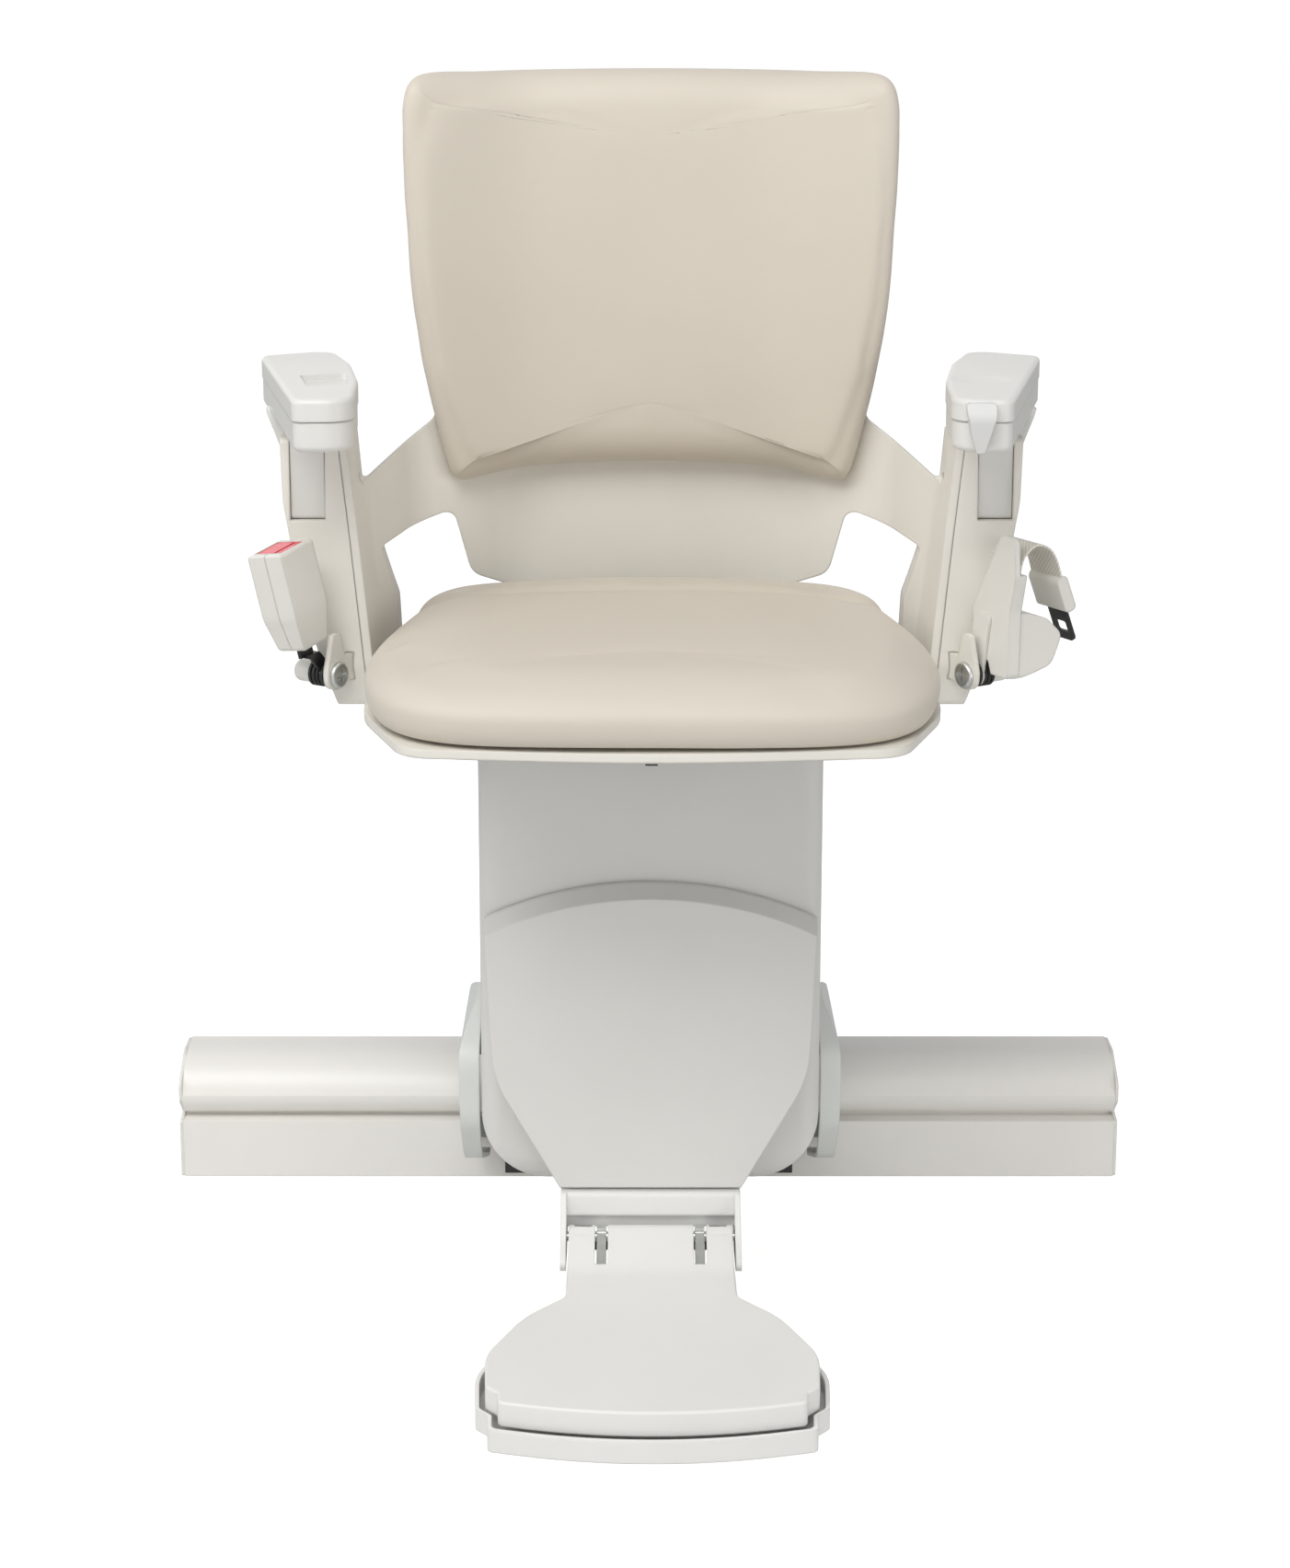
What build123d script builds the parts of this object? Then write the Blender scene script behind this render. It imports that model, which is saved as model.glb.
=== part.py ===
from build123d import *
import math
import os

# Stairlift chair on a short length of its straight rail.
# Millimetres. X runs along the rail, the chair faces -Y, Z is up.
# The origin is the centre of the bolt pattern on the rail's back face.

# ---- general clearances and stock sizes -------------------------------------------------
RUN_GAP = 0.3          # between curved faces that move past each other
SEAT_GAP = 0.3         # between a soft or loose piece and what it rests on
PIN_FIT = 0.05         # radial clearance of a pin in its bore
PANEL_GAP = 0.5        # between two moulded panels

# ---- rail -------------------------------------------------------------------------------
RAIL_LENGTH = 900.0
RAIL_DEPTH = 76.0      # lower band, front to back
RAIL_TOP = 41.0
RAIL_BOTTOM = -75.0
RAIL_WALL = 6.0
RUNWAY_BACK = 8.0      # the top runway starts this far from the back face
RUNWAY_WIDTH = 22.0
GROOVE_DEPTH = 18.0    # groove between the round upper bulb and the lower band
GROOVE_Z = -15.0
CHANNEL_BACK = 10.0    # rack channel in the underside
CHANNEL_WIDTH = 26.0
CHANNEL_DEPTH = 27.0
BOLT_SPACING_X = 640.0
BOLT_SPACING_Z = 48.0
BOLT_HOLE_R = 4.5
CAP_THICKNESS = 3.0

# ---- rack and pinion ----------------------------------------------------------------------
TOOTH_MODULE = 3.0
PINION_TEETH = 16
RACK_WIDTH = 22.0
PINION_R = TOOTH_MODULE * PINION_TEETH / 2
RACK_PITCH_Z = RAIL_BOTTOM + CHANNEL_DEPTH - 12.0
PINION_Z = RACK_PITCH_Z - PINION_R
BACKLASH = 0.35
SHAFT_R = 6.0

# ---- carriage -----------------------------------------------------------------------------
CHASSIS_Y = -88.0      # back face of the chassis plate
CHASSIS_T = 8.0
CHASSIS_HALF = 138.0
CHASSIS_TOP = 92.0
CHASSIS_STEP_Z = -62.0
CHASSIS_TONGUE_HALF = 70.0
CHASSIS_FOOT_Z = -106.0
UPPER_ROLLER_R = 20.0
UPPER_ROLLER_X = 108.0
ROLLER_FLANGE_R = 25.0
LOWER_ROLLER_R = 12.0
LOWER_ROLLER_X = 54.0
LOWER_ROLLER_WIDTH = 22.0
AXLE_R = 6.0

# ---- column, shield and side covers ---------------------------------------------------------
COLUMN_HALF = 148.0
COLUMN_FRONT = -300.0
COLUMN_BACK = -100.0
COLUMN_TOP = 425.0
COLUMN_R = 18.0
SKIN = 4.0
POST_HALF = 35.0
POST_DEPTH = 50.0
POST_FOOT_Z = -24.0
POST_TOP = 434.0
POST_WALL = 5.0
SHIELD_TOP = 302.0
SHIELD_SHOULDER_Z = 270.0
SHIELD_HALF = 143.0
SHIELD_WAIST_Z = 138.0
SHIELD_WAIST_HALF = 137.0
SHIELD_FOOT_Z = 39.5
SHIELD_FOOT_HALF = 78.0
SHIELD_TOP_Y = -320.0
SHIELD_FOOT_Y = -341.0
EDGE_TRAVEL = 4.0
EDGE_OUT = 171.0

# ---- swivel -------------------------------------------------------------------------------
SWIVEL_Y = -330.0
BEARING_R = 46.0
HEAD_T = 9.0
SWIVEL_POST_R = 20.0
SWIVEL_PLATE_Z = 456.0
SWIVEL_PLATE_T = 8.0

# ---- seat ---------------------------------------------------------------------------------
FRAME_Z = SWIVEL_PLATE_Z + SWIVEL_PLATE_T
FRAME_T = 6.0
UPRIGHT_FOOT = FRAME_Z + FRAME_T
PAN_BOTTOM = 480.0
PAN_RIM_Z = 490.0
PAN_TOP = 497.0
CUSHION_TOP = 552.0
SEAT_FRONT = -590.0
SEAT_BACK = -180.0
SEAT_HALF = 224.0
SEAT_REAR_HALF = 204.0
CREASE_Y = -280.0
FOLD_Y = -218.0
FOLD_Z = 528.0
FOLD_PIN_R = 5.0

# ---- back ---------------------------------------------------------------------------------
SHELL_T = 7.0
SHELL_FRONT = -150.0   # front face of the shell behind the cushion, at its centre
BACK_PAD_T = 36.0
BACK_TOP = 989.0
BACK_TOP_SIDE = 982.0
BACK_HALF_TOP = 206.0
BACK_HALF_HIGH = 210.0
BACK_HALF_MID = 199.0
BACK_HALF_LOW = 172.0
BACK_CORNER_Z = 626.0
BACK_ARCH_Z = 641.0

# ---- uprights and armrests ------------------------------------------------------------------
UPRIGHT_FRONT = -346.0
UPRIGHT_BACK = -256.0
UPRIGHT_TOP = 690.0
LEG_WIDTH = 29.0
ARM_PIVOT_Y = -300.0
ARM_PIVOT_Z = 652.0
ARM_PIN_R = 5.0
LEG_END_R = 26.0
ARM_UNDER = 704.0
ARM_SEAM = 727.0
ARM_TOP = 745.0
ARM_FRONT = -486.0
ARM_REAR = -205.0

# ---- belt ---------------------------------------------------------------------------------
ANCHOR_X = 250.0
ANCHOR_Y = -366.0
ANCHOR_Z = 503.0
ANCHOR_R = 6.0

# ---- footrest -------------------------------------------------------------------------------
FOOT_PIVOT_Y = -356.0
FOOT_PIVOT_Z = 2.0
FOOT_PIN_R = 4.0
FOOT_TOP = -6.0
FOOT_T = 20.0
FOOT_PAN_T = 10.0
PAN_TRAVEL = 3.0


# ---- drawing helpers ------------------------------------------------------------------------
def outline(points, radii=0.0):
    """Closed face through the points, each corner rounded by its radius."""
    count = len(points)
    radii = [radii] * count if isinstance(radii, (int, float)) else list(radii)
    lines = []
    ends = []
    for i, point in enumerate(points):
        here = Vector(*point)
        to_last = (Vector(*points[i - 1]) - here)
        to_next = (Vector(*points[(i + 1) % count]) - here)
        a, b = to_last.normalized(), to_next.normalized()
        if radii[i] <= 0 or a.dot(b) < -0.99999:
            ends.append((here, here, None))
            continue
        half = math.acos(max(-1, min(1, a.dot(b)))) / 2
        reach = radii[i] / math.tan(half)
        middle = here + (a + b).normalized() * (radii[i] / math.sin(half) - radii[i])
        ends.append((here + a * reach, here + b * reach, middle))
    for i in range(count):
        start, stop, middle = ends[i]
        if middle is not None:
            lines.append(ThreePointArc(start, middle, stop))
        following = ends[(i + 1) % count][0]
        if (following - stop).length > 1e-6:
            lines.append(Line(stop, following))
    return make_face(Curve() + lines)


def along_z(face, low, high):
    return extrude(Plane.XY.offset(low) * face, amount=high - low)


def along_y(face, front, back):
    """Face drawn as (X, Z), from Y = front to Y = back."""
    return extrude(Plane.XZ.offset(-back) * face, amount=back - front)


def along_x(face, left, right):
    """Face drawn as (Y, Z), from X = left to X = right."""
    return extrude(Plane.YZ.offset(left) * face, amount=right - left)


def block(x, y, z):
    """Box between the pairs of limits."""
    size = [limits[1] - limits[0] for limits in (x, y, z)]
    return Pos(x[0], y[0], z[0]) * Box(*size, align=(Align.MIN, Align.MIN, Align.MIN))


def rod_x(radius, left, right, y, z):
    return Pos((left + right) / 2, y, z) * Rot(0, 90, 0) * Cylinder(radius, right - left)


def rod_y(radius, front, back, x, z):
    return Pos(x, (front + back) / 2, z) * Rot(90, 0, 0) * Cylinder(radius, back - front)


def rod_z(radius, low, high, x, y):
    return Pos(x, y, (low + high) / 2) * Cylinder(radius, high - low)


def both_sides(shape):
    return Compound(children=[s for s in (shape, mirror(shape, Plane.YZ))])


def mirrored(points):
    """Right-hand outline points, run back down the left-hand side."""
    return points + [(-x, y) for x, y in reversed(points) if abs(x) > 1e-9]


# ---- rail -----------------------------------------------------------------------------------
def rail():
    """Hollow extrusion: round upper bulb, groove, flat lower band, rack channel underneath."""
    front = -RAIL_DEPTH
    groove = front + GROOVE_DEPTH
    runway_front = -(RUNWAY_BACK + RUNWAY_WIDTH)
    bulb = ThreePointArc((runway_front, RAIL_TOP), (front + 14.5, RAIL_TOP - 11.5), (front, 8))
    cove = ThreePointArc((front, 8), (front + 4, -6), (groove, GROOVE_Z))
    section = make_face(Curve() + [
        Polyline((0, RAIL_BOTTOM), (0, RAIL_TOP - 10), (-RUNWAY_BACK, RAIL_TOP - 10),
                 (-RUNWAY_BACK, RAIL_TOP), (runway_front, RAIL_TOP)),
        bulb, cove,
        Polyline((groove, GROOVE_Z), (groove, GROOVE_Z - 3), (front, GROOVE_Z - 3),
                 (front, RAIL_BOTTOM), (0, RAIL_BOTTOM))])
    half = RAIL_LENGTH / 2
    body = along_x(section, -half, half)
    low_back = -CHANNEL_BACK - CHANNEL_WIDTH
    bulb_hollow = [(-RUNWAY_BACK - RAIL_WALL, GROOVE_Z), (-RUNWAY_BACK - RAIL_WALL, RAIL_TOP - RAIL_WALL),
                   (runway_front, RAIL_TOP - RAIL_WALL), (front + 14, 14), (front + 14, 4),
                   (groove + RAIL_WALL, GROOVE_Z)]
    bolt_slot = [(-RAIL_WALL, GROOVE_Z - RAIL_WALL), (low_back - RAIL_WALL, GROOVE_Z - RAIL_WALL),
                 (low_back - RAIL_WALL, RAIL_BOTTOM + CHANNEL_DEPTH + RAIL_WALL),
                 (-RAIL_WALL, RAIL_BOTTOM + CHANNEL_DEPTH + RAIL_WALL)]
    band_hollow = [(low_back - RAIL_WALL, RAIL_BOTTOM + RAIL_WALL),
                   (low_back - RAIL_WALL, GROOVE_Z - RAIL_WALL - 3),
                   (front + RAIL_WALL, GROOVE_Z - RAIL_WALL - 3),
                   (front + RAIL_WALL, RAIL_BOTTOM + RAIL_WALL)]
    channel = [(low_back, RAIL_BOTTOM - 1), (low_back, RAIL_BOTTOM + CHANNEL_DEPTH),
               (-CHANNEL_BACK, RAIL_BOTTOM + CHANNEL_DEPTH), (-CHANNEL_BACK, RAIL_BOTTOM - 1)]
    for hollow in (bulb_hollow, bolt_slot, band_hollow, channel):
        body -= along_x(outline(hollow), -half - 1, half + 1)
    for x in (-BOLT_SPACING_X / 2, BOLT_SPACING_X / 2):
        for z in (-BOLT_SPACING_Z / 2, BOLT_SPACING_Z / 2):
            body -= rod_y(BOLT_HOLE_R, -RUNWAY_BACK - RAIL_WALL - 2, 1, x, z)
    return body


def rail_end_caps():
    """Moulded plugs that close both ends and cover the sawn edge."""
    front = -RAIL_DEPTH
    face = outline([(0, RAIL_BOTTOM), (0, RAIL_TOP - 10), (-RUNWAY_BACK, RAIL_TOP - 10),
                    (-RUNWAY_BACK, RAIL_TOP), (front + 34, RAIL_TOP), (front, 20), (front, 2),
                    (front + GROOVE_DEPTH, GROOVE_Z), (front, GROOVE_Z - 3), (front, RAIL_BOTTOM)],
                   [3, 1, 0, 3, 14, 8, 8, 2, 2, 3])
    half = RAIL_LENGTH / 2
    cap = along_x(face, half, half + CAP_THICKNESS)
    cap = cap + block((half - 8, half), (front + 27, -RUNWAY_BACK - RAIL_WALL - 2), (-8, 20))
    return both_sides(cap)


def rack():
    """Steel rack bolted up into the channel, its teeth pointing down at the pinion."""
    pitch = math.pi * TOOTH_MODULE
    slope = math.tan(math.radians(20))
    tip = RACK_PITCH_Z - 0.9 * TOOTH_MODULE
    root = RACK_PITCH_Z + 1.25 * TOOTH_MODULE
    half_tooth = pitch / 4 - BACKLASH / 2
    at_tip = half_tooth - (RACK_PITCH_Z - tip) * slope
    at_root = half_tooth + (root - RACK_PITCH_Z) * slope
    teeth = int(RAIL_LENGTH / 2 / pitch) * 2
    points = []
    for i in range(teeth):
        centre = (i - teeth / 2 + 0.5) * pitch
        points += [(centre - at_root, root), (centre - at_tip, tip),
                   (centre + at_tip, tip), (centre + at_root, root)]
    half = teeth / 2 * pitch
    points += [(half, root), (half, RAIL_BOTTOM + CHANNEL_DEPTH),
               (-half, RAIL_BOTTOM + CHANNEL_DEPTH), (-half, root)]
    face = make_face(Polyline(*points, close=True))
    middle = -CHANNEL_BACK - CHANNEL_WIDTH / 2
    return along_y(face, middle - RACK_WIDTH / 2, middle + RACK_WIDTH / 2)


def pinion():
    """Spur pinion in one piece with its shaft; one tooth points straight up into the rack."""
    base = PINION_R * math.cos(math.radians(20))
    roll = math.tan(math.radians(20)) - math.radians(20)
    radii = [base, (base + PINION_R) / 2, PINION_R, PINION_R + TOOTH_MODULE / 2,
             PINION_R + TOOTH_MODULE]

    def half_angle(radius):
        pressure = math.acos(min(1, base / radius))
        thick = math.pi / 2 / PINION_TEETH - BACKLASH / 2 / PINION_R
        return thick + roll - (math.tan(pressure) - pressure)

    root = PINION_R - 1.25 * TOOTH_MODULE
    flank = [(root, half_angle(base))] + [(r, half_angle(r)) for r in radii]
    points = []
    for i in range(PINION_TEETH):
        turn = math.pi / 2 - i * 2 * math.pi / PINION_TEETH
        for radius, angle in flank:
            points.append((radius * math.cos(turn + angle), radius * math.sin(turn + angle)))
        for radius, angle in reversed(flank):
            points.append((radius * math.cos(turn - angle), radius * math.sin(turn - angle)))
    face = make_face(Polyline(*points, close=True))
    middle = -CHANNEL_BACK - CHANNEL_WIDTH / 2
    half = RACK_WIDTH / 2 - 1
    gear = Pos(0, 0, PINION_Z) * along_y(face, middle - half, middle + half)
    return gear + rod_y(SHAFT_R, GEARBOX_FRONT + 20, middle - half, 0, PINION_Z)


# ---- carriage -----------------------------------------------------------------------------
CHASSIS_FRONT = CHASSIS_Y - CHASSIS_T
GEARBOX_FRONT = CHASSIS_FRONT - 54
UPPER_ROLLER_Z = RAIL_TOP + UPPER_ROLLER_R + RUN_GAP
LOWER_ROLLER_Z = RAIL_BOTTOM - LOWER_ROLLER_R - RUN_GAP
LOWER_ROLLER_FRONT = -RAIL_DEPTH + 4
POST_FRONT = CHASSIS_FRONT - POST_DEPTH


def roller_places():
    """Name, X, Z, radius and front and back faces of each roller."""
    upper_front = -(RUNWAY_BACK + RUNWAY_WIDTH)
    places = []
    for side, sign in (("left", -1), ("right", 1)):
        places.append(("upper_roller_" + side, sign * UPPER_ROLLER_X, UPPER_ROLLER_Z, UPPER_ROLLER_R,
                       upper_front, -RUNWAY_BACK))
        places.append(("lower_roller_" + side, sign * LOWER_ROLLER_X, LOWER_ROLLER_Z, LOWER_ROLLER_R,
                       LOWER_ROLLER_FRONT, LOWER_ROLLER_FRONT + LOWER_ROLLER_WIDTH))
    return places


def roller(x, z, radius, front, back):
    """Nylon roller; an upper one has a flange that hooks behind the runway."""
    body = rod_y(radius, front, back, x, z)
    if radius == UPPER_ROLLER_R:
        body += rod_y(ROLLER_FLANGE_R, back + RUN_GAP, -RUN_GAP - 1.2, x, z)
        body += rod_y(radius - 2, back, back + RUN_GAP, x, z)
    return body - rod_y(AXLE_R + PIN_FIT, front - 1, 0, x, z)


def roller_axles():
    """Shouldered steel axles, nutted to the chassis plate, each with its retaining ring."""
    axles = []
    for name, x, z, radius, front, back in roller_places():
        end = -1.2 if radius == UPPER_ROLLER_R else back + RUN_GAP
        axle = rod_y(AXLE_R, CHASSIS_FRONT - 8, end + 1, x, z)
        axle += rod_y(AXLE_R + 3, CHASSIS_Y, front - RUN_GAP, x, z)
        axle += rod_y(AXLE_R + 2, end, end + 1, x, z)
        axle += rod_y(AXLE_R + 3, CHASSIS_FRONT - 8, CHASSIS_FRONT, x, z)
        axles.append(axle)
    return Compound(children=axles)


EDGE_PEGS_Z = (-14.0, 70.0)


def edge_peg(z, spread, travel=0.0):
    """Peg at the plate's right edge that a side cover slides on; spread and travel give its bore."""
    return block((CHASSIS_HALF, EDGE_OUT - 12 + travel), (CHASSIS_FRONT + 1 - spread, CHASSIS_Y - 1 + spread),
                 (z - 6 - spread, z + 6 + spread))


def chassis_plate():
    """Flat steel plate that hangs on the rail by its rollers and carries everything else."""
    points = mirrored([(0, CHASSIS_FOOT_Z), (CHASSIS_TONGUE_HALF, CHASSIS_FOOT_Z),
                       (CHASSIS_TONGUE_HALF, CHASSIS_STEP_Z), (CHASSIS_HALF, CHASSIS_STEP_Z),
                       (CHASSIS_HALF, CHASSIS_TOP), (0, CHASSIS_TOP)])
    plate = along_y(outline(points[1:5] + points[6:10]), CHASSIS_FRONT, CHASSIS_Y)
    for name, x, z, radius, front, back in roller_places():
        plate -= rod_y(AXLE_R + PIN_FIT, CHASSIS_FRONT - 1, CHASSIS_Y + 1, x, z)
    for z in EDGE_PEGS_Z:
        plate += edge_peg(z, 0) + mirror(edge_peg(z, 0), Plane.YZ)
    return plate - rod_y(SHAFT_R + 1, CHASSIS_FRONT - 1, CHASSIS_Y + 1, 0, PINION_Z)


def post():
    """Box-section upright welded to the chassis plate."""
    outer = block((-POST_HALF, POST_HALF), (POST_FRONT, CHASSIS_FRONT), (POST_FOOT_Z, POST_TOP))
    inside = (POST_FRONT + POST_WALL, CHASSIS_FRONT - POST_WALL)
    return outer - block((POST_WALL - POST_HALF, POST_HALF - POST_WALL), inside,
                         (POST_FOOT_Z - 1, POST_TOP + 1))


def gearbox():
    """Cast worm gearbox below the post, with the flange that takes the motor."""
    bottom = PINION_Z - 22
    case = block((-34, 40), (GEARBOX_FRONT, CHASSIS_FRONT), (bottom, POST_FOOT_Z - 2))
    case = fillet(case.edges().filter_by(Axis.Y), 6)
    case += block((38, 46), (GEARBOX_FRONT, CHASSIS_FRONT - 1), (-60, MOTOR_Z + MOTOR_R))
    case -= rod_y(SHAFT_R + PIN_FIT, GEARBOX_FRONT + 16, CHASSIS_FRONT + 1, 0, PINION_Z)
    return case


MOTOR_R = 25.0
MOTOR_Z = -14.0
MOTOR_Y = CHASSIS_FRONT - 28


def motor():
    """Direct-current motor, flanged to the gearbox, with its brake housing on the outer end."""
    body = rod_x(MOTOR_R, 46, 94, MOTOR_Y, MOTOR_Z) + rod_x(MOTOR_R - 5, 94, 114, MOTOR_Y, MOTOR_Z)
    return body


BATTERY_FLOOR = 40.0
TRAY_T = 3.0
BATTERY_SIZE = (84.0, 76.0, 100.0)


def battery_tray():
    """Folded steel shelf fixed to the front of the post."""
    half = CHASSIS_HALF - 2
    floor = block((-half, half), (POST_FRONT - BATTERY_SIZE[1] - 8, POST_FRONT),
                  (BATTERY_FLOOR - TRAY_T, BATTERY_FLOOR))
    lip = block((-half, half), (POST_FRONT - BATTERY_SIZE[1] - 8, POST_FRONT - BATTERY_SIZE[1] - 5),
                (BATTERY_FLOOR, BATTERY_FLOOR + 14))
    return floor + lip


def batteries():
    """Two sealed batteries, side by side on the tray, with their terminals."""
    width, depth, height = BATTERY_SIZE
    case = block((POST_HALF + 6, POST_HALF + 6 + width), (POST_FRONT - 4 - depth, POST_FRONT - 4),
                 (BATTERY_FLOOR, BATTERY_FLOOR + height))
    case = fillet(case.edges().filter_by(Axis.Z), 3)
    for x in (16, width - 16):
        case += rod_z(5, BATTERY_FLOOR + height, BATTERY_FLOOR + height + 6,
                      POST_HALF + 6 + x, POST_FRONT - 22)
    return both_sides(case)


def control_board():
    """Control board on four stand-offs on the front of the post, with its relays."""
    board = block((-32, 32), (POST_FRONT - 8, POST_FRONT - 6), (190, 330))
    for x in (-26, 26):
        for z in (198, 322):
            board += rod_y(3, POST_FRONT - 6, POST_FRONT, x, z)
    for z in (215, 245, 275):
        board += block((-22, 22), (POST_FRONT - 24, POST_FRONT - 8), (z, z + 20))
    return board


# ---- column cover, shield and side covers ---------------------------------------------------
BELLY_Z = 30.0         # underside of the cover at its front
BELLY_BACK_Z = -60.0   # underside of the cover at its back
BELLY_R = 58.0         # round of the belly's side edges
MOUTH_HALF = 78.5      # opening in the underside for the footrest arms and the gearbox


def column_profile(inset):
    """Side view of the column cover, drawn as (Y, Z)."""
    front, back = COLUMN_FRONT + inset, COLUMN_BACK + (1 if inset else 0)
    return outline([(back, COLUMN_TOP - inset), (front, COLUMN_TOP - inset), (front, BELLY_Z + inset),
                    (back, BELLY_BACK_Z + inset)], [0, 3, 30 - inset, 0])


def column_cover():
    """One-piece moulded cover, open at the back, its belly curving in under the carriage."""
    def skin(inset):
        plan = outline([(-COLUMN_HALF + inset, COLUMN_BACK + 2), (-COLUMN_HALF + inset, COLUMN_FRONT + inset),
                        (COLUMN_HALF - inset, COLUMN_FRONT + inset), (COLUMN_HALF - inset, COLUMN_BACK + 2)],
                       [0, COLUMN_R - inset, COLUMN_R - inset, 0])
        side = along_x(column_profile(inset), -COLUMN_HALF, COLUMN_HALF)
        body = side & along_z(plan, BELLY_BACK_Z - 5, COLUMN_TOP)
        half = COLUMN_HALF - inset
        slope = math.degrees(math.atan2(BELLY_Z - BELLY_BACK_Z, COLUMN_BACK - COLUMN_FRONT))
        sleeve = along_y(outline([(-half, inset), (half, inset), (half, 700), (-half, 700)],
                                 [BELLY_R - inset, BELLY_R - inset, 0, 0]), -400, 100)
        return body & (Pos(0, COLUMN_BACK, BELLY_BACK_Z) * Rot(-slope, 0, 0) * sleeve)
    cover = skin(0) - skin(SKIN)
    cover -= block((-POST_HALF - SEAT_GAP, POST_HALF + SEAT_GAP), (POST_FRONT - SEAT_GAP, COLUMN_BACK + 5),
                   (COLUMN_TOP - SKIN - 1, COLUMN_TOP + 1))
    mouth = outline([(-MOUTH_HALF, -90), (MOUTH_HALF, -90), (MOUTH_HALF, SHIELD_FOOT_Z + 10),
                     (-MOUTH_HALF, SHIELD_FOOT_Z + 10)], [0, 0, 6, 6])
    return cover - along_y(mouth, COLUMN_FRONT - 5, COLUMN_BACK + 5)


def shield_outline(inset):
    """Front view of the shield: arched top, straight sides, taper down to the footrest."""
    shoulder = SHIELD_HALF - inset
    arch = ThreePointArc((-shoulder, SHIELD_SHOULDER_Z - inset), (0, SHIELD_TOP - inset),
                         (shoulder, SHIELD_SHOULDER_Z - inset))
    bend = 24.0
    waist, foot = SHIELD_WAIST_HALF - inset, SHIELD_FOOT_HALF - inset
    low = SHIELD_FOOT_Z + inset
    lean = (waist - foot) / (SHIELD_WAIST_Z - low)

    def side(sign):
        above = (sign * waist, SHIELD_WAIST_Z + bend)
        middle = (sign * (waist - 0.28 * bend * lean), SHIELD_WAIST_Z - 0.06 * bend)
        below = (sign * (waist - bend * lean), SHIELD_WAIST_Z - bend)
        return [Line((sign * shoulder, SHIELD_SHOULDER_Z - inset), above),
                ThreePointArc(above, middle, below), Line(below, (sign * foot, low))]
    return make_face(Curve() + [arch] + side(1) + [Line((foot, low), (-foot, low))] + side(-1))


def front_shield():
    """Deep moulded shield on the front of the column, with a bevelled arch."""
    def skin(inset):
        low = SHIELD_FOOT_Z + inset
        profile = outline([(COLUMN_FRONT - PANEL_GAP, SHIELD_TOP + 5), (SHIELD_TOP_Y + inset, SHIELD_TOP + 5),
                           (SHIELD_TOP_Y + inset, SHIELD_SHOULDER_Z), (SHIELD_FOOT_Y + inset, low),
                           (COLUMN_FRONT - PANEL_GAP, low)], [0, 0, 40, 0, 0])
        body = along_y(shield_outline(inset), SHIELD_FOOT_Y - 5, COLUMN_FRONT - PANEL_GAP)
        return body & along_x(profile, -SHIELD_HALF - 5, SHIELD_HALF + 5)
    body = skin(0)
    arch = body.edges().filter_by(GeomType.CIRCLE).sort_by(Axis.Z)[-2:].sort_by(Axis.Y)[0]
    body = chamfer(arch, 14, 10)
    hollow = skin(SKIN) & block((-200, 200), (SHIELD_FOOT_Y, COLUMN_FRONT), (0, SHIELD_SHOULDER_Z - 8))
    return body - hollow


def side_cover():
    """Right-hand safety-edge cover: a bulging shell that gives way when it meets an obstacle."""
    inner = COLUMN_HALF + EDGE_TRAVEL + PANEL_GAP
    front, back = -240.0, -86.0
    side_view = outline([(back, 126), (-132, 146), (-186, 150), (front, 118), (front, 52), (front + 30, 6),
                         (back - 10, -44), (back, -44)], [4, 60, 50, 30, 40, 60, 8, 4])
    hollow_view = outline([(back + 2, 122), (-133, 142), (-184, 146), (front + 4, 116), (front + 4, 54),
                           (front + 33, 10), (back - 10, -40), (back + 2, -40)],
                          [0, 56, 46, 26, 36, 56, 4, 0])

    def front_view(inset):
        out = EDGE_OUT - inset
        bulge = ThreePointArc((out - 14, 151), (out - 4, 132), (out, 80))
        return make_face(Curve() + [bulge, Line((out, 80), (out - 3, -30)),
                                    Polyline((out - 3, -30), (out - 5, -45), (inner, -45), (inner, 151),
                                             (out - 14, 151))])
    outer = along_x(side_view, inner, EDGE_OUT) & along_y(front_view(0), front - 2, back + 2)
    hollow = along_x(hollow_view, inner - 1, EDGE_OUT) & along_y(front_view(3), front - 2, back + 3)
    cover = outer - hollow
    for z in EDGE_PEGS_Z:
        boss = block((inner, EDGE_OUT), (CHASSIS_FRONT - 3, CHASSIS_Y + 1), (z - 10, z + 10))
        cover += (boss & outer) - edge_peg(z, SEAT_GAP, EDGE_TRAVEL + 0.5)
    step = block((EDGE_OUT - 8, EDGE_OUT + 1), (front - 1, back + 1), (-24, -20))
    return cover - (step & outer - (Pos(-1.2, 0, 0) * outer))


# ---- swivel -------------------------------------------------------------------------------
HEAD_BOTTOM = POST_TOP
HEAD_TOP = HEAD_BOTTOM + HEAD_T
BEARING_T = SWIVEL_PLATE_Z - SEAT_GAP - HEAD_TOP
HEAD_R = BEARING_R + 6
NOTCH_DEPTH = 9.0      # the lever's pawl drops into one of three notches in the head's rim


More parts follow.
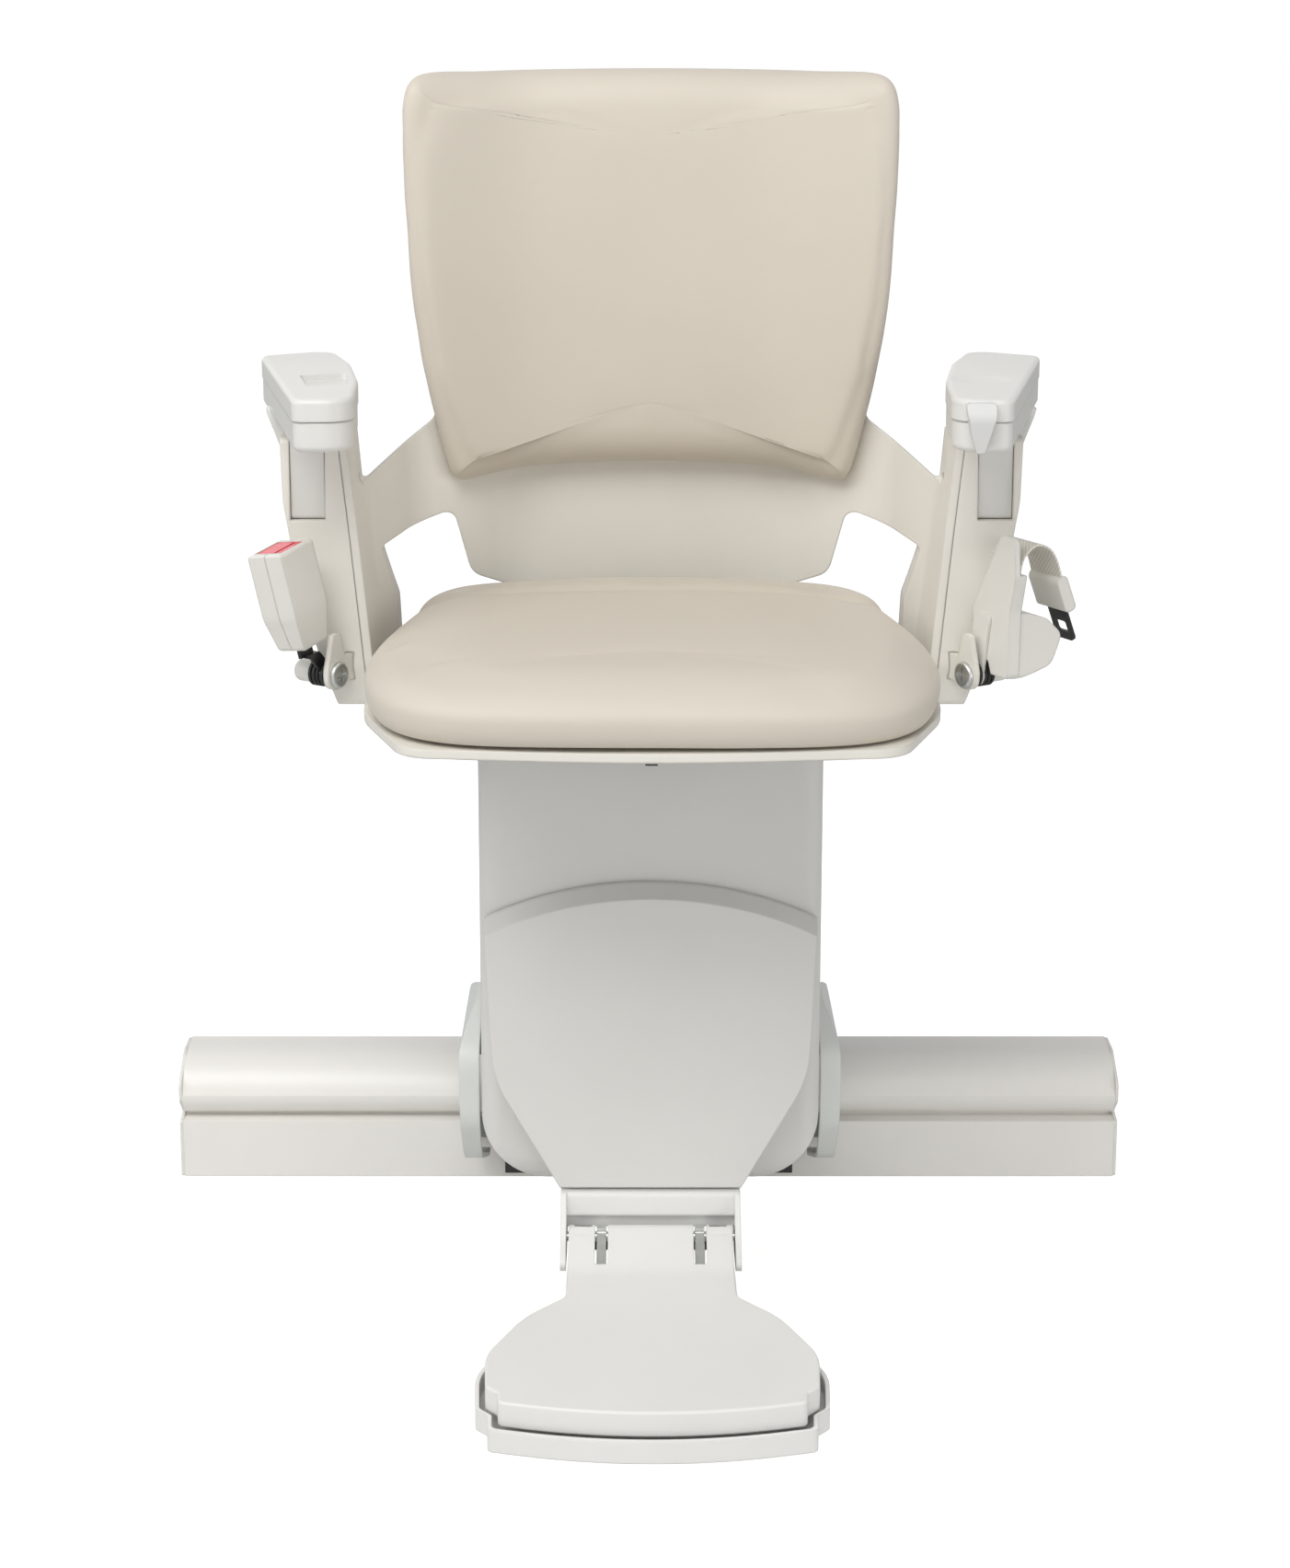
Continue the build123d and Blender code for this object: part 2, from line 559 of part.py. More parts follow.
def post_head():
    """Thick steel head plate on the post that reaches forward to the swivel bearing."""
    half = BEARING_R + 6
    face = outline([(-half + 8, CHASSIS_FRONT - 14), (-half, SWIVEL_Y), (-half, SWIVEL_Y - half),
                    (half, SWIVEL_Y - half), (half, SWIVEL_Y), (half - 8, CHASSIS_FRONT - 14)],
                   [6, 20, half - 2, half - 2, 20, 6])
    plate = along_z(face, HEAD_BOTTOM, HEAD_TOP)
    plate -= rod_z(SWIVEL_POST_R + PIN_FIT, HEAD_BOTTOM - 1, HEAD_TOP + 1, 0, SWIVEL_Y)
    for degrees in (-90, 0, 90):
        notch = block((-PAWL_HALF - 1, PAWL_HALF + 1), (-HEAD_R - 4, NOTCH_DEPTH - HEAD_R),
                      (HEAD_BOTTOM - 1, HEAD_TOP + 1))
        plate -= Pos(0, SWIVEL_Y, 0) * Rot(0, 0, degrees) * notch
    return plate


def bearing_ring():
    """Plain bearing washer between the head plate and the swivel plate."""
    ring = rod_z(BEARING_R, HEAD_TOP, HEAD_TOP + BEARING_T, 0, SWIVEL_Y)
    return ring - rod_z(SWIVEL_POST_R + 2, HEAD_TOP - 1, HEAD_TOP + BEARING_T + 1, 0, SWIVEL_Y)


def swivel_plate():
    """Disc and vertical spigot that the whole seat turns on, with its keeper below."""
    low = HEAD_BOTTOM - 6
    body = rod_z(BEARING_R + 6, SWIVEL_PLATE_Z, FRAME_Z, 0, SWIVEL_Y)
    body += rod_z(SWIVEL_POST_R, low, SWIVEL_PLATE_Z, 0, SWIVEL_Y)
    return body + rod_z(SWIVEL_POST_R + 5, low - 4, low + 6 - SEAT_GAP, 0, SWIVEL_Y)


LEVER_Y = -410.0
LEVER_Z = 458.5
LEVER_R = 4.5
PAWL_HALF = 5.0
LEVER_LIFT = 16.0


def swivel_lever():
    """Steel rod under the seat, lifted by its grips; its pawl has just left the notch in the rim."""
    reach = 186.0
    rod = rod_x(LEVER_R, -reach, reach, 0, 0)
    grip = block((reach - 26, reach), (-34, 0), (-4, 6))
    grip = fillet(grip.edges().filter_by(Axis.X), 4)
    tip_y = SWIVEL_Y - HEAD_R + NOTCH_DEPTH - 1 - LEVER_Y
    tip_z = HEAD_BOTTOM + 3 - LEVER_Z
    pawl = outline([(-5, 3), (5, 3), (tip_y - 10, tip_z + 7), (tip_y, tip_z + 4), (tip_y, tip_z),
                    (tip_y - 14, tip_z)], [3, 3, 4, 1, 1, 4])
    lever = rod + grip + mirror(grip, Plane.YZ) + along_x(pawl, -PAWL_HALF, PAWL_HALF)
    return Pos(0, LEVER_Y, LEVER_Z) * Rot(-LEVER_LIFT, 0, 0) * lever


# ---- seat ---------------------------------------------------------------------------------
HINGE_X = 80.0         # middle of each seat hinge
HINGE_T = 6.0
FRAME_BACK = SHELL_FRONT + SHELL_T + 5
CRADLE_FRONT = -344.0
CRADLE_BACK = -292.0


def seat_frame():
    """Welded steel frame: plate on the swivel, cradle under the uprights, arms to the back."""
    plate_half = 66.0
    plate = along_z(outline([(-plate_half, -250), (-plate_half, LEVER_Y - 12), (plate_half, LEVER_Y - 12),
                             (plate_half, -250)], [0, 14, 14, 0]), FRAME_Z, FRAME_Z + FRAME_T)
    cradle = block((-237, 237), (CRADLE_FRONT, CRADLE_BACK), (FRAME_Z, FRAME_Z + FRAME_T))
    frame = plate + fillet(cradle.edges().filter_by(Axis.Z), 10)
    for side in (-1, 1):
        arm = block((side * 48 - 18, side * 48 + 18), (-266 + 4, FRAME_BACK), (FRAME_Z - 8, FRAME_Z))
        frame += arm + block((side * 48 - 18, side * 48 + 18), (-262, -250), (FRAME_Z, FRAME_Z + FRAME_T))
        frame += block((side * 48 - 18, side * 48 + 18), (SHELL_FRONT + SHELL_T, FRAME_BACK),
                       (FRAME_Z - 8, FRAME_Z + 60))
        frame += block((side * 55 - 10, side * 55 + 10), (FOLD_Y - 12, FOLD_Y + 12), (FRAME_Z - 8, FRAME_Z))
        lever_eye = block((side * 46 - 5, side * 46 + 5), (LEVER_Y - 9, LEVER_Y + 9),
                          (LEVER_Z - 9, FRAME_Z))
        frame += lever_eye
        low, high = sorted((side * (HINGE_X - HINGE_T), side * HINGE_X))
        lug = outline([(FOLD_Y - 11, FRAME_Z - 8), (FOLD_Y + 11, FRAME_Z - 8), (FOLD_Y + 8, FOLD_Z + 8),
                       (FOLD_Y - 8, FOLD_Z + 8)], [0, 0, 7, 7])
        frame += along_x(lug, low, high)
        frame += block(sorted((side * 60, side * HINGE_X)), (FOLD_Y - 11, FOLD_Y + 11),
                       (FRAME_Z - 8, FRAME_Z - 2))
    frame -= rod_x(LEVER_R + PIN_FIT, -60, 60, LEVER_Y, LEVER_Z)
    frame -= rod_x(FOLD_PIN_R + PIN_FIT, -HINGE_X - 1, HINGE_X + 1, FOLD_Y, FOLD_Z)
    return frame


def seat_plan(inset):
    """Plan of the seat: rounded front, waist at the crease, narrower rounded back."""
    front, back = SEAT_FRONT + inset, SEAT_BACK - inset
    half, rear = SEAT_HALF - inset, SEAT_REAR_HALF - inset
    points = mirrored([(0, front - 3), (half - 35, front + 14), (half + 8, -462), (rear + 9, CREASE_Y - 6),
                       (rear - 2, back - 52), (rear - 66, back - 4), (0, back)])
    half_radii = [34 - inset / 2, 130, 80 - 1.9 * inset, 60 - 1.3 * inset, 60 - 1.3 * inset]
    return outline(points, [900] + half_radii + [900] + half_radii[::-1])


def seat_pan():
    """Moulded pan under the cushion, with its lip, ribs and the two hinge knuckles."""
    rim = along_z(seat_plan(3), PAN_RIM_Z, PAN_TOP)
    rim -= along_z(seat_plan(9), PAN_RIM_Z - 1, PAN_TOP - 3)
    tray = along_z(seat_plan(34), PAN_BOTTOM, PAN_TOP) - along_z(seat_plan(38), PAN_BOTTOM - 1, PAN_TOP - 3)
    pan = rim + tray
    for x in (-120, -60, 60, 120):
        pan += block((x - 1.5, x + 1.5), (SEAT_FRONT + 60, FOLD_Y - 24), (PAN_BOTTOM + 5, PAN_TOP - 2))
    pan -= block((-300, 300), (FOLD_Y + 9, 0), (0, PAN_TOP + 1))
    for side in (-1, 1):
        inner, outer = side * (HINGE_X + RUN_GAP), side * (HINGE_X + 14)
        knuckle = outline([(FOLD_Y - 20, PAN_TOP - 2), (FOLD_Y + 9, PAN_TOP - 2), (FOLD_Y + 8, FOLD_Z + 8),
                           (FOLD_Y - 8, FOLD_Z + 8)], [0, 0, 7, 7])
        gap = sorted((side * (HINGE_X - HINGE_T - 2), side * (HINGE_X + RUN_GAP)))
        pan -= block(gap, (FOLD_Y - 20, 0), (0, PAN_TOP + 1))
        pan += along_x(knuckle, *sorted((inner, outer)))
        pin_low, pin_high = sorted((side * (HINGE_X - HINGE_T - 5), side * (HINGE_X + 16)))
        pan -= rod_x(FOLD_PIN_R + PIN_FIT, pin_low, pin_high, FOLD_Y, FOLD_Z)
    return pan


def seat_cushion():
    """Crowned cushion in two lobes, with a soft crease across it."""
    top, under = CUSHION_TOP, PAN_TOP + SEAT_GAP
    crown = Spline([(SEAT_BACK + 0.5, under + 24), (SEAT_BACK - 22, top - 12), (CREASE_Y + 30, top - 4),
                    (CREASE_Y, top - 11), (CREASE_Y - 40, top - 2), (-400, top), (-510, top - 5),
                    (SEAT_FRONT + 22, top - 22), (SEAT_FRONT - 2, under + 20)])
    lower = Polyline((SEAT_FRONT - 2, under + 20), (SEAT_FRONT + 8, under), (SEAT_BACK - 18, under),
                     (SEAT_BACK + 0.5, under + 24))
    side = along_x(make_face(Curve() + [crown, lower]), -SEAT_HALF - 5, SEAT_HALF + 5)
    front_face = outline([(-SEAT_HALF - 1, under - 8), (SEAT_HALF + 1, under - 8),
                          (SEAT_HALF + 1, top + 1), (-SEAT_HALF - 1, top + 1)], [10, 10, 34, 34])
    body = along_z(seat_plan(0), under, top + 5) & side
    body = body & along_y(front_face, SEAT_FRONT - 5, 0)
    for side in (-1, 1):
        pocket = sorted((side * (HINGE_X - HINGE_T - 4), side * (HINGE_X + 14 + SEAT_GAP)))
        body -= block(pocket, (FOLD_Y - 20 - SEAT_GAP, 0), (under - 1, FOLD_Z + 10))
    return body


# ---- back ---------------------------------------------------------------------------------
INNER_EDGE = [(253, 692), (226, UPRIGHT_FOOT)]
OUTER_EDGE = [(303, 692), (301, 640), (293, 595), (280, 540), (258, UPRIGHT_FOOT)]
HOLE = [(173, 605), (228, 589), (217, 540), (214, UPRIGHT_FOOT - 5), (104, UPRIGHT_FOOT - 5),
        (104, 520), (158, 545)]


def shell_plan(height, shift):
    """Right half of the shell's front face at a height; the shift moves it outwards."""
    (x_top, z_top), (x_low, z_low) = INNER_EDGE
    edge = x_low + (x_top - x_low) * (height - z_low) / (z_top - z_low)
    f = shift
    return [(0, SHELL_FRONT + f), (122 + f * 0.3, SHELL_FRONT - 2 + f), (206 + f * 0.8, -208 + f * 0.6),
            (edge - 8 + f, -290 + f * 0.2), (edge - 2 + f, -366)]


def across(half_points):
    """The right half's points and their mirror images, from left to right."""
    return [(-x, y) for x, y in reversed(half_points) if x > 0] + [p for p in half_points if p[0] > 0]


def ribbon(height, grow):
    """Section of the wrap-around wall at a height."""
    front = across(shell_plan(height, -grow))
    back = across(shell_plan(height, SHELL_T + grow))
    face = outline(front + list(reversed(back)), [0, 60, 60, 60, 60, 60, 60, 0, 0, 64, 64, 64, 64, 64, 64, 0])
    return Plane.XY.offset(height) * face


def ribbon_wall(grow=0.0):
    """Wrap-around wall: it flares outwards up to the tops of the uprights, then runs straight up."""
    flared = loft([ribbon(UPRIGHT_FOOT, grow), ribbon(700, grow)])
    return flared + extrude(ribbon(700, grow), amount=BACK_TOP - 700)


FRONT_EDGE = [(UPRIGHT_FRONT + 8, 692), (UPRIGHT_FRONT + 2, 620), (-352, 560), (-359, 505),
              (-350, UPRIGHT_FOOT)]


def back_silhouette():
    """Front view of the shell: back panel, swept bands and the side openings."""
    right = [(0, BACK_TOP - 7), (BACK_HALF_TOP - 8, BACK_TOP_SIDE - 8), (BACK_HALF_HIGH - 8, 929),
             (BACK_HALF_HIGH - 11, 813), (BACK_HALF_MID - 8, 734), (186, 688), (242, 647), (246, 692),
             (275, 692), (275, UPRIGHT_FOOT), (0, UPRIGHT_FOOT)]
    radii = [0, 16, 60, 300, 200, 14, 3, 0, 0, 0, 0]
    face = outline(mirrored(right), radii + radii[-2:0:-1])
    hole = outline(HOLE, [10, 4, 40, 0, 0, 10, 20])
    return face - hole - mirror(hole, Plane.YZ)


def upright_envelope():
    """Outer shape of the right upright."""
    (x_top, z_top), (x_low, z_low) = INNER_EDGE
    front_view = outline([(x_top + 1, z_top + 9), (x_low - 1, z_low - 9), (x_low + 29, z_low - 9)]
                         + list(reversed(OUTER_EDGE))[1:-1] + [(303.3, z_top + 9)], [0, 0, 0, 60, 60, 60, 0])
    rear = [(-296, UPRIGHT_FOOT), (-284, 540), (UPRIGHT_BACK, 620), (UPRIGHT_BACK, 692)]
    side_view = outline(FRONT_EDGE + rear, [6, 60, 60, 24, 8, 6, 60, 40, 26])
    return along_y(front_view, -370, -240) & along_x(side_view, 200, 310)


def shell_foot(spread):
    """Right-hand foot of the shell, which stands on the steel cradle."""
    return block((196 - spread, 232 + spread), (CRADLE_FRONT - spread, CRADLE_BACK + spread),
                 (UPRIGHT_FOOT - spread, UPRIGHT_FOOT + 6 + spread))


def back_shell():
    """Wrap-around moulded shell: back panel, bands and the inner walls of the uprights."""
    side_view = outline(FRONT_EDGE + [(-100, UPRIGHT_FOOT), (-100, BACK_TOP), (-338, BACK_TOP)],
                        [0, 60, 60, 24, 8, 0, 0, 0])
    shell = ribbon_wall() & along_y(back_silhouette(), -400, -100) & along_x(side_view, -300, 300)
    foot = shell_foot(0)
    shell = shell + foot + mirror(foot, Plane.YZ)
    pin = rod_x(ARM_PIN_R + PIN_FIT, 235, 310, ARM_PIVOT_Y, ARM_PIVOT_Z)
    room = lug_block(PANEL_GAP)
    return shell - pin - mirror(pin, Plane.YZ) - room - mirror(room, Plane.YZ)


LEG_X = (266.8, 266.8 + LEG_WIDTH - 1)
SLOT_FLOOR = ARM_PIVOT_Z - LEG_END_R - 12


def upright_cover():
    """Right-hand outer cover of the upright, slotted for the armrest's leg."""
    cover = upright_envelope() - ribbon_wall(PANEL_GAP) - shell_foot(PANEL_GAP)
    slot = block((LEG_X[0] - PANEL_GAP, LEG_X[1] + PANEL_GAP), (-400, -200), (ARM_PIVOT_Z - 27.5, 700))
    slot += block((LEG_X[0] - PANEL_GAP, LEG_X[1] + PANEL_GAP), (-331, -200), (SLOT_FLOOR, 700))
    cover -= slot
    cover -= block((256, 282), (-334, -292), (540, 600))
    cover -= mirror(lug_block(PANEL_GAP), Plane.YZ)
    return cover - rod_x(ARM_PIN_R + PIN_FIT, 240, LEG_X[1] + 4, ARM_PIVOT_Y, ARM_PIVOT_Z)


def seat_pins():
    """Steel pins: two that the seat folds on and two that the armrests fold on."""
    seat = rod_x(FOLD_PIN_R, HINGE_X - HINGE_T - 3, HINGE_X + 14, FOLD_Y, FOLD_Z)
    arm = rod_x(ARM_PIN_R, 252, LEG_X[1] + 3.5, ARM_PIVOT_Y, ARM_PIVOT_Z)
    return Compound(children=[seat, arm, mirror(seat, Plane.YZ), mirror(arm, Plane.YZ)])


def back_cushion():
    """Slim back cushion that follows the shell's curve, thin at its edges."""
    front = across([(0, 0), (112, SHELL_FRONT - BACK_PAD_T - 3), (196, -227), (212, -224)])
    back = across([(0, 0), (130, SHELL_FRONT + 5), (216, -205)])
    plan = outline(front + list(reversed(back)), [3, 16, 110, 110, 16, 3, 3, 0, 0, 3])
    right = [(0, BACK_TOP), (BACK_HALF_TOP, BACK_TOP_SIDE), (BACK_HALF_HIGH, 929), (BACK_HALF_HIGH - 3, 813),
             (BACK_HALF_MID, 734), (190, 687), (BACK_HALF_LOW, BACK_CORNER_Z), (0, BACK_ARCH_Z + 4)]
    face = outline(mirrored(right), [2500, 24, 80, 500, 300, 200, 12, 1400, 12, 200, 300, 500, 80, 24])
    pad = along_z(plan, BACK_CORNER_Z - 5, BACK_TOP + 5) & along_y(face, -260, -100)
    wall = across(shell_plan(700, -SEAT_GAP))
    low = across(shell_plan(UPRIGHT_FOOT, -SEAT_GAP))
    behind = Plane.XY.offset(700) * outline(wall + [(270, -90), (-270, -90)], [0] + [60] * 6 + [0, 0, 0])
    below = Plane.XY.offset(UPRIGHT_FOOT) * outline(low + [(270, -90), (-270, -90)],
                                                    [0] + [60] * 6 + [0, 0, 0])
    return pad - extrude(behind, amount=BACK_TOP + 10 - 700) - loft([below, behind])


# ---- armrests -------------------------------------------------------------------------------
JOYSTICK_X = 247.0
JOYSTICK_Z = 736.0
JOYSTICK_R = 4.0


def arm_plan(inset):
    """Plan of the right armrest: it toes in towards the front, its outer edge straight."""
    i = inset
    return outline([(226 + i, ARM_FRONT + i), (272 - i, ARM_FRONT - 2 + i), (333 - i, ARM_REAR - 18 - i * 0.6),
                    (276, ARM_REAR + 20 - i), (251 + i, -270), (234 + i, -372)],
                   [22, 12, 12, 18, 120, 200])


def armrest_cover_left():
    """Left-hand pad cover, with a slanting recess in its top."""
    cover = along_z(arm_plan(0), ARM_SEAM + PANEL_GAP, ARM_TOP)
    top = cover.faces().sort_by(Axis.Z)[-1]
    cover = fillet(top.edges(), 4)
    recess = outline([(283, -352), (247, -340), (240, -400), (270, -410)], 3)
    cover -= along_z(recess, ARM_TOP - 4, ARM_TOP + 1)
    return mirror(cover, Plane.YZ)


def armrest_cover_right():
    """Right-hand pad cover, with a soft oval dish and the bore for the joystick."""
    cover = along_z(arm_plan(0), ARM_SEAM + PANEL_GAP, ARM_TOP)
    top = cover.faces().sort_by(Axis.Z)[-1]
    cover = fillet(top.edges(), 4)
    cover -= Pos(262, -372, ARM_TOP + 98) * Sphere(101)
    return cover - rod_y(JOYSTICK_R + PIN_FIT, ARM_FRONT - 5, ARM_FRONT + 26, JOYSTICK_X, JOYSTICK_Z)


def armrest_casing():
    """Right-hand lower casing, with the gusset that runs down beside the upright."""
    casing = along_z(arm_plan(0.8), ARM_UNDER, ARM_SEAM)
    bottom = casing.faces().sort_by(Axis.Z)[0]
    casing = fillet(bottom.edges(), 5)
    gusset = outline([(304.5, ARM_UNDER + 8), (320, ARM_UNDER + 8), (318, ARM_UNDER), (306, 672), (304.5, 672)])
    side = outline([(-296, ARM_UNDER + 6), (-236, ARM_UNDER + 6), (-262, 672), (-296, 672)], [0, 0, 8, 8])
    return casing + (along_y(gusset, -320, -220) & along_x(side, 300, 330))


def armrest_leg():
    """Right-hand leg: the steel-cored tongue in the upright's slot that the armrest folds on."""
    tongue = outline([(-338, ARM_PIVOT_Z - 27), (-338, ARM_UNDER), (-268, ARM_UNDER),
                      (-274, ARM_PIVOT_Z - 26)], [3, 0, 0, 25])
    leg = along_x(tongue, *LEG_X)
    return leg - rod_x(ARM_PIN_R + PIN_FIT, LEG_X[0] - 1, LEG_X[1] + 1, ARM_PIVOT_Y, ARM_PIVOT_Z)


def joystick():
    """Paddle on a short shaft that rocks to either side; it narrows to a curved tip."""
    blade = outline([(-12, 7), (12, 7), (11, -4), (3.5, -31), (-3, -32), (-8, -16)], [3, 3, 8, 2, 2, 20])
    paddle = Pos(JOYSTICK_X, 0, JOYSTICK_Z) * along_y(blade, ARM_FRONT - 13, ARM_FRONT - 2 - SEAT_GAP)
    side = outline([(ARM_FRONT - 1, JOYSTICK_Z + 8), (ARM_FRONT - 7, JOYSTICK_Z + 8), (ARM_FRONT - 13, JOYSTICK_Z - 4),
                    (ARM_FRONT - 7, JOYSTICK_Z - 34), (ARM_FRONT - 1, JOYSTICK_Z - 34)], [0, 3, 12, 3, 0])
    paddle = paddle & along_x(side, JOYSTICK_X - 20, JOYSTICK_X + 20)
    return paddle + rod_y(JOYSTICK_R, ARM_FRONT - 4, ARM_FRONT + 24, JOYSTICK_X, JOYSTICK_Z)


# ---- belt ---------------------------------------------------------------------------------
ANCHOR_TURN = 30.0     # the anchor bolts point inwards and forwards by this much
WASHER_R = 11.0
EYE_T = 2.4


def at_left_anchor(shape):
    """From the bolt's own frame (X along the bolt, towards its head) to the left anchor."""
    return Pos(-ANCHOR_X - 12, ANCHOR_Y - 6, ANCHOR_Z) * Rot(0, 0, -ANCHOR_TURN) * shape


def lug_face(spread):
    return outline([(-12 - spread, -12 - spread), (12 + spread, -12 - spread), (13 + spread, 4),
                    (5 + spread, 34 + spread), (-5 - spread, 34 + spread), (-13 - spread, 4)],
                   [11 + spread, 11 + spread, 12, 4, 4, 12])


def lug_block(spread):
    """A lug with the bolt and washers beside it, used whole to clear room in the upright."""
    body = along_x(lug_face(spread), 3 - spread, 8 + spread)
    body += block((3 - spread, 8 + spread), (0, 34 + spread), (-8 - spread, 14 + spread))
    if spread:
        body += rod_x(WASHER_R + 2, -44, 4, 0, 0) + rod_x(WASHER_R + 2, 8, 14, 0, 0)
    return at_left_anchor(body)


def anchor_lugs():
    lug = lug_block(0) - at_left_anchor(rod_x(ANCHOR_R + PIN_FIT, 0, 12, 0, 0))
    return both_sides(lug)


def anchor_bolts():
    """Button-head bolts through the lugs, with a cross recess in each head."""
    bolt = rod_x(ANCHOR_R, -20, 8, 0, 0)
    head = rod_x(WASHER_R, 8, 12, 0, 0)
    head = fillet(head.edges().sort_by(Axis.X)[-1], 2.5)
    head -= block((10, 13), (-6, 6), (-1.2, 1.2)) + block((10, 13), (-1.2, 1.2), (-6, 6))
    return both_sides(at_left_anchor(bolt + head))


def anchor_washers():
    """Ribbed rubber washers either side of each stalk's eye."""
    washers = []
    for low, high in ((-2 + RUN_GAP, 3), (-14, -2 - EYE_T - RUN_GAP)):
        ring = rod_x(WASHER_R, low, high, 0, 0) - rod_x(ANCHOR_R + PIN_FIT, low - 1, high + 1, 0, 0)
        for groove in range(int((high - low) / 4)):
            middle = low + 3 + groove * 4
            ring -= (rod_x(WASHER_R + 1, middle - 0.8, middle + 0.8, 0, 0)
                     - rod_x(WASHER_R - 1.5, middle - 0.8, middle + 0.8, 0, 0))
        washers.append(at_left_anchor(ring))
    return Compound(children=washers + [mirror(w, Plane.YZ) for w in washers])


def anchor_caps():
    """White domed caps on the outer ends of the anchor bolts."""
    cap = rod_x(9, -32, -14, 0, 0)
    cap = fillet(cap.edges().sort_by(Axis.X)[0], 5)
    cap -= rod_x(ANCHOR_R + PIN_FIT, -20 - PIN_FIT, -13, 0, 0)
    return both_sides(at_left_anchor(cap))


def in_buckle_frame(shape):
    """From the buckle's own frame (Z along it, from its lower end) to its place on the stalk."""
    return at_left_anchor(Pos(-9, -22, 27) * Rot(9, -8, 0) * shape)


BUCKLE_W, BUCKLE_D, BUCKLE_L = 34.0, 42.0, 84.0


def buckle_body():
    face = outline([(-BUCKLE_D / 2 + 6, 0), (BUCKLE_D / 2 - 6, 0), (BUCKLE_D / 2, 30), (BUCKLE_D / 2, BUCKLE_L),
                    (-BUCKLE_D / 2, BUCKLE_L), (-BUCKLE_D / 2, 30)], [5, 5, 40, 2, 2, 40])
    front = outline([(-BUCKLE_W / 2 + 4, 0), (BUCKLE_W / 2 - 4, 0), (BUCKLE_W / 2, 30), (BUCKLE_W / 2, BUCKLE_L),
                     (-BUCKLE_W / 2, BUCKLE_L), (-BUCKLE_W / 2, 30)], [4, 4, 60, 3, 3, 60])
    return along_x(face, -BUCKLE_W / 2, BUCKLE_W / 2) & along_y(front, -BUCKLE_D / 2, BUCKLE_D / 2)


BUTTON_HALF_X, BUTTON_HALF_Y, BUTTON_DEPTH = 13.0, 15.0, 14.0


def buckle_half(sign):
    """One moulded half of the buckle; the halves meet on the seam."""
    low, high = sorted((sign * 0.1, sign * 30))
    body = buckle_body() & block((low, high), (-40, 40), (-1, 100))
    well = block((-BUTTON_HALF_X - 0.4, BUTTON_HALF_X + 0.4), (-BUTTON_HALF_Y - 0.4, BUTTON_HALF_Y + 0.4),
                 (BUCKLE_L - BUTTON_DEPTH, BUCKLE_L + 1))
    slot = block((-2, 2), (-9, 9), (-1, 18))
    return in_buckle_frame(body - well - slot)


def buckle_button():
    """Red press button with the slot for the tongue beside it."""
    low = BUCKLE_L - BUTTON_DEPTH + 5
    button = block((-BUTTON_HALF_X, BUTTON_HALF_X), (-BUTTON_HALF_Y, BUTTON_HALF_Y), (low, BUCKLE_L - 0.5))
    button = fillet(button.edges().filter_by(Axis.Z), 2)
    button -= block((4, 6.4), (-13, 13), (low - 1, BUCKLE_L))
    return in_buckle_frame(button)


def buckle_stalk():
    """Flat steel stalk: its eye turns on the anchor bolt, its top is held in the buckle."""
    eye = rod_x(10, -2 - EYE_T, -2, 0, 0)
    arm = outline([(-8, 2), (8, 2), (-10, 20.5), (-25, 20.5)], [3, 3, 0, 0])
    bar = eye + along_x(arm, -2 - EYE_T, -2)
    bar -= rod_x(ANCHOR_R + PIN_FIT, -6, 0, 0, 0)
    blade = Pos(-9, -22, 27) * Rot(9, -8, 0) * block((-1.6, 1.6), (-8, 8), (-8.5, 17))
    bridge = block((-12, -2), (-24, -10), (17, 20.5))
    return at_left_anchor(bar + bridge + blade)


def at_right_anchor(shape):
    """A piece drawn for the left anchor, mirrored to the right."""
    return mirror(at_left_anchor(shape), Plane.YZ)


REEL_FRONT, REEL_BACK = -38.0, 4.0      # along the bolt frame's Y
SPOOL_X, SPOOL_Z, SPOOL_R = -34.0, 34.0, 16.0
NECK_OUT = -16.0
STRAP_T = 1.8
STRAP_FRONT, STRAP_BACK = -42.0, -3.0
STRAP_PATH = [(-12.5, 88.9), (-17, 103), (-30, 111), (-46, 103), (-54.5, 83)]
TONGUE_LEAN = 22.0


def reel_bracket():
    """Steel eye plate that turns on the anchor bolt and carries the reel housing."""
    low = -2 - EYE_T
    plate = rod_x(10, low, -2, 0, 0) + along_x(outline([(-9.5, 2), (9.5, 2), (4, 52), (-18, 52)], [2, 2, 5, 5]),
                                               low, -2)
    return at_right_anchor(plate - rod_x(ANCHOR_R + PIN_FIT, low - 1, 0, 0, 0))


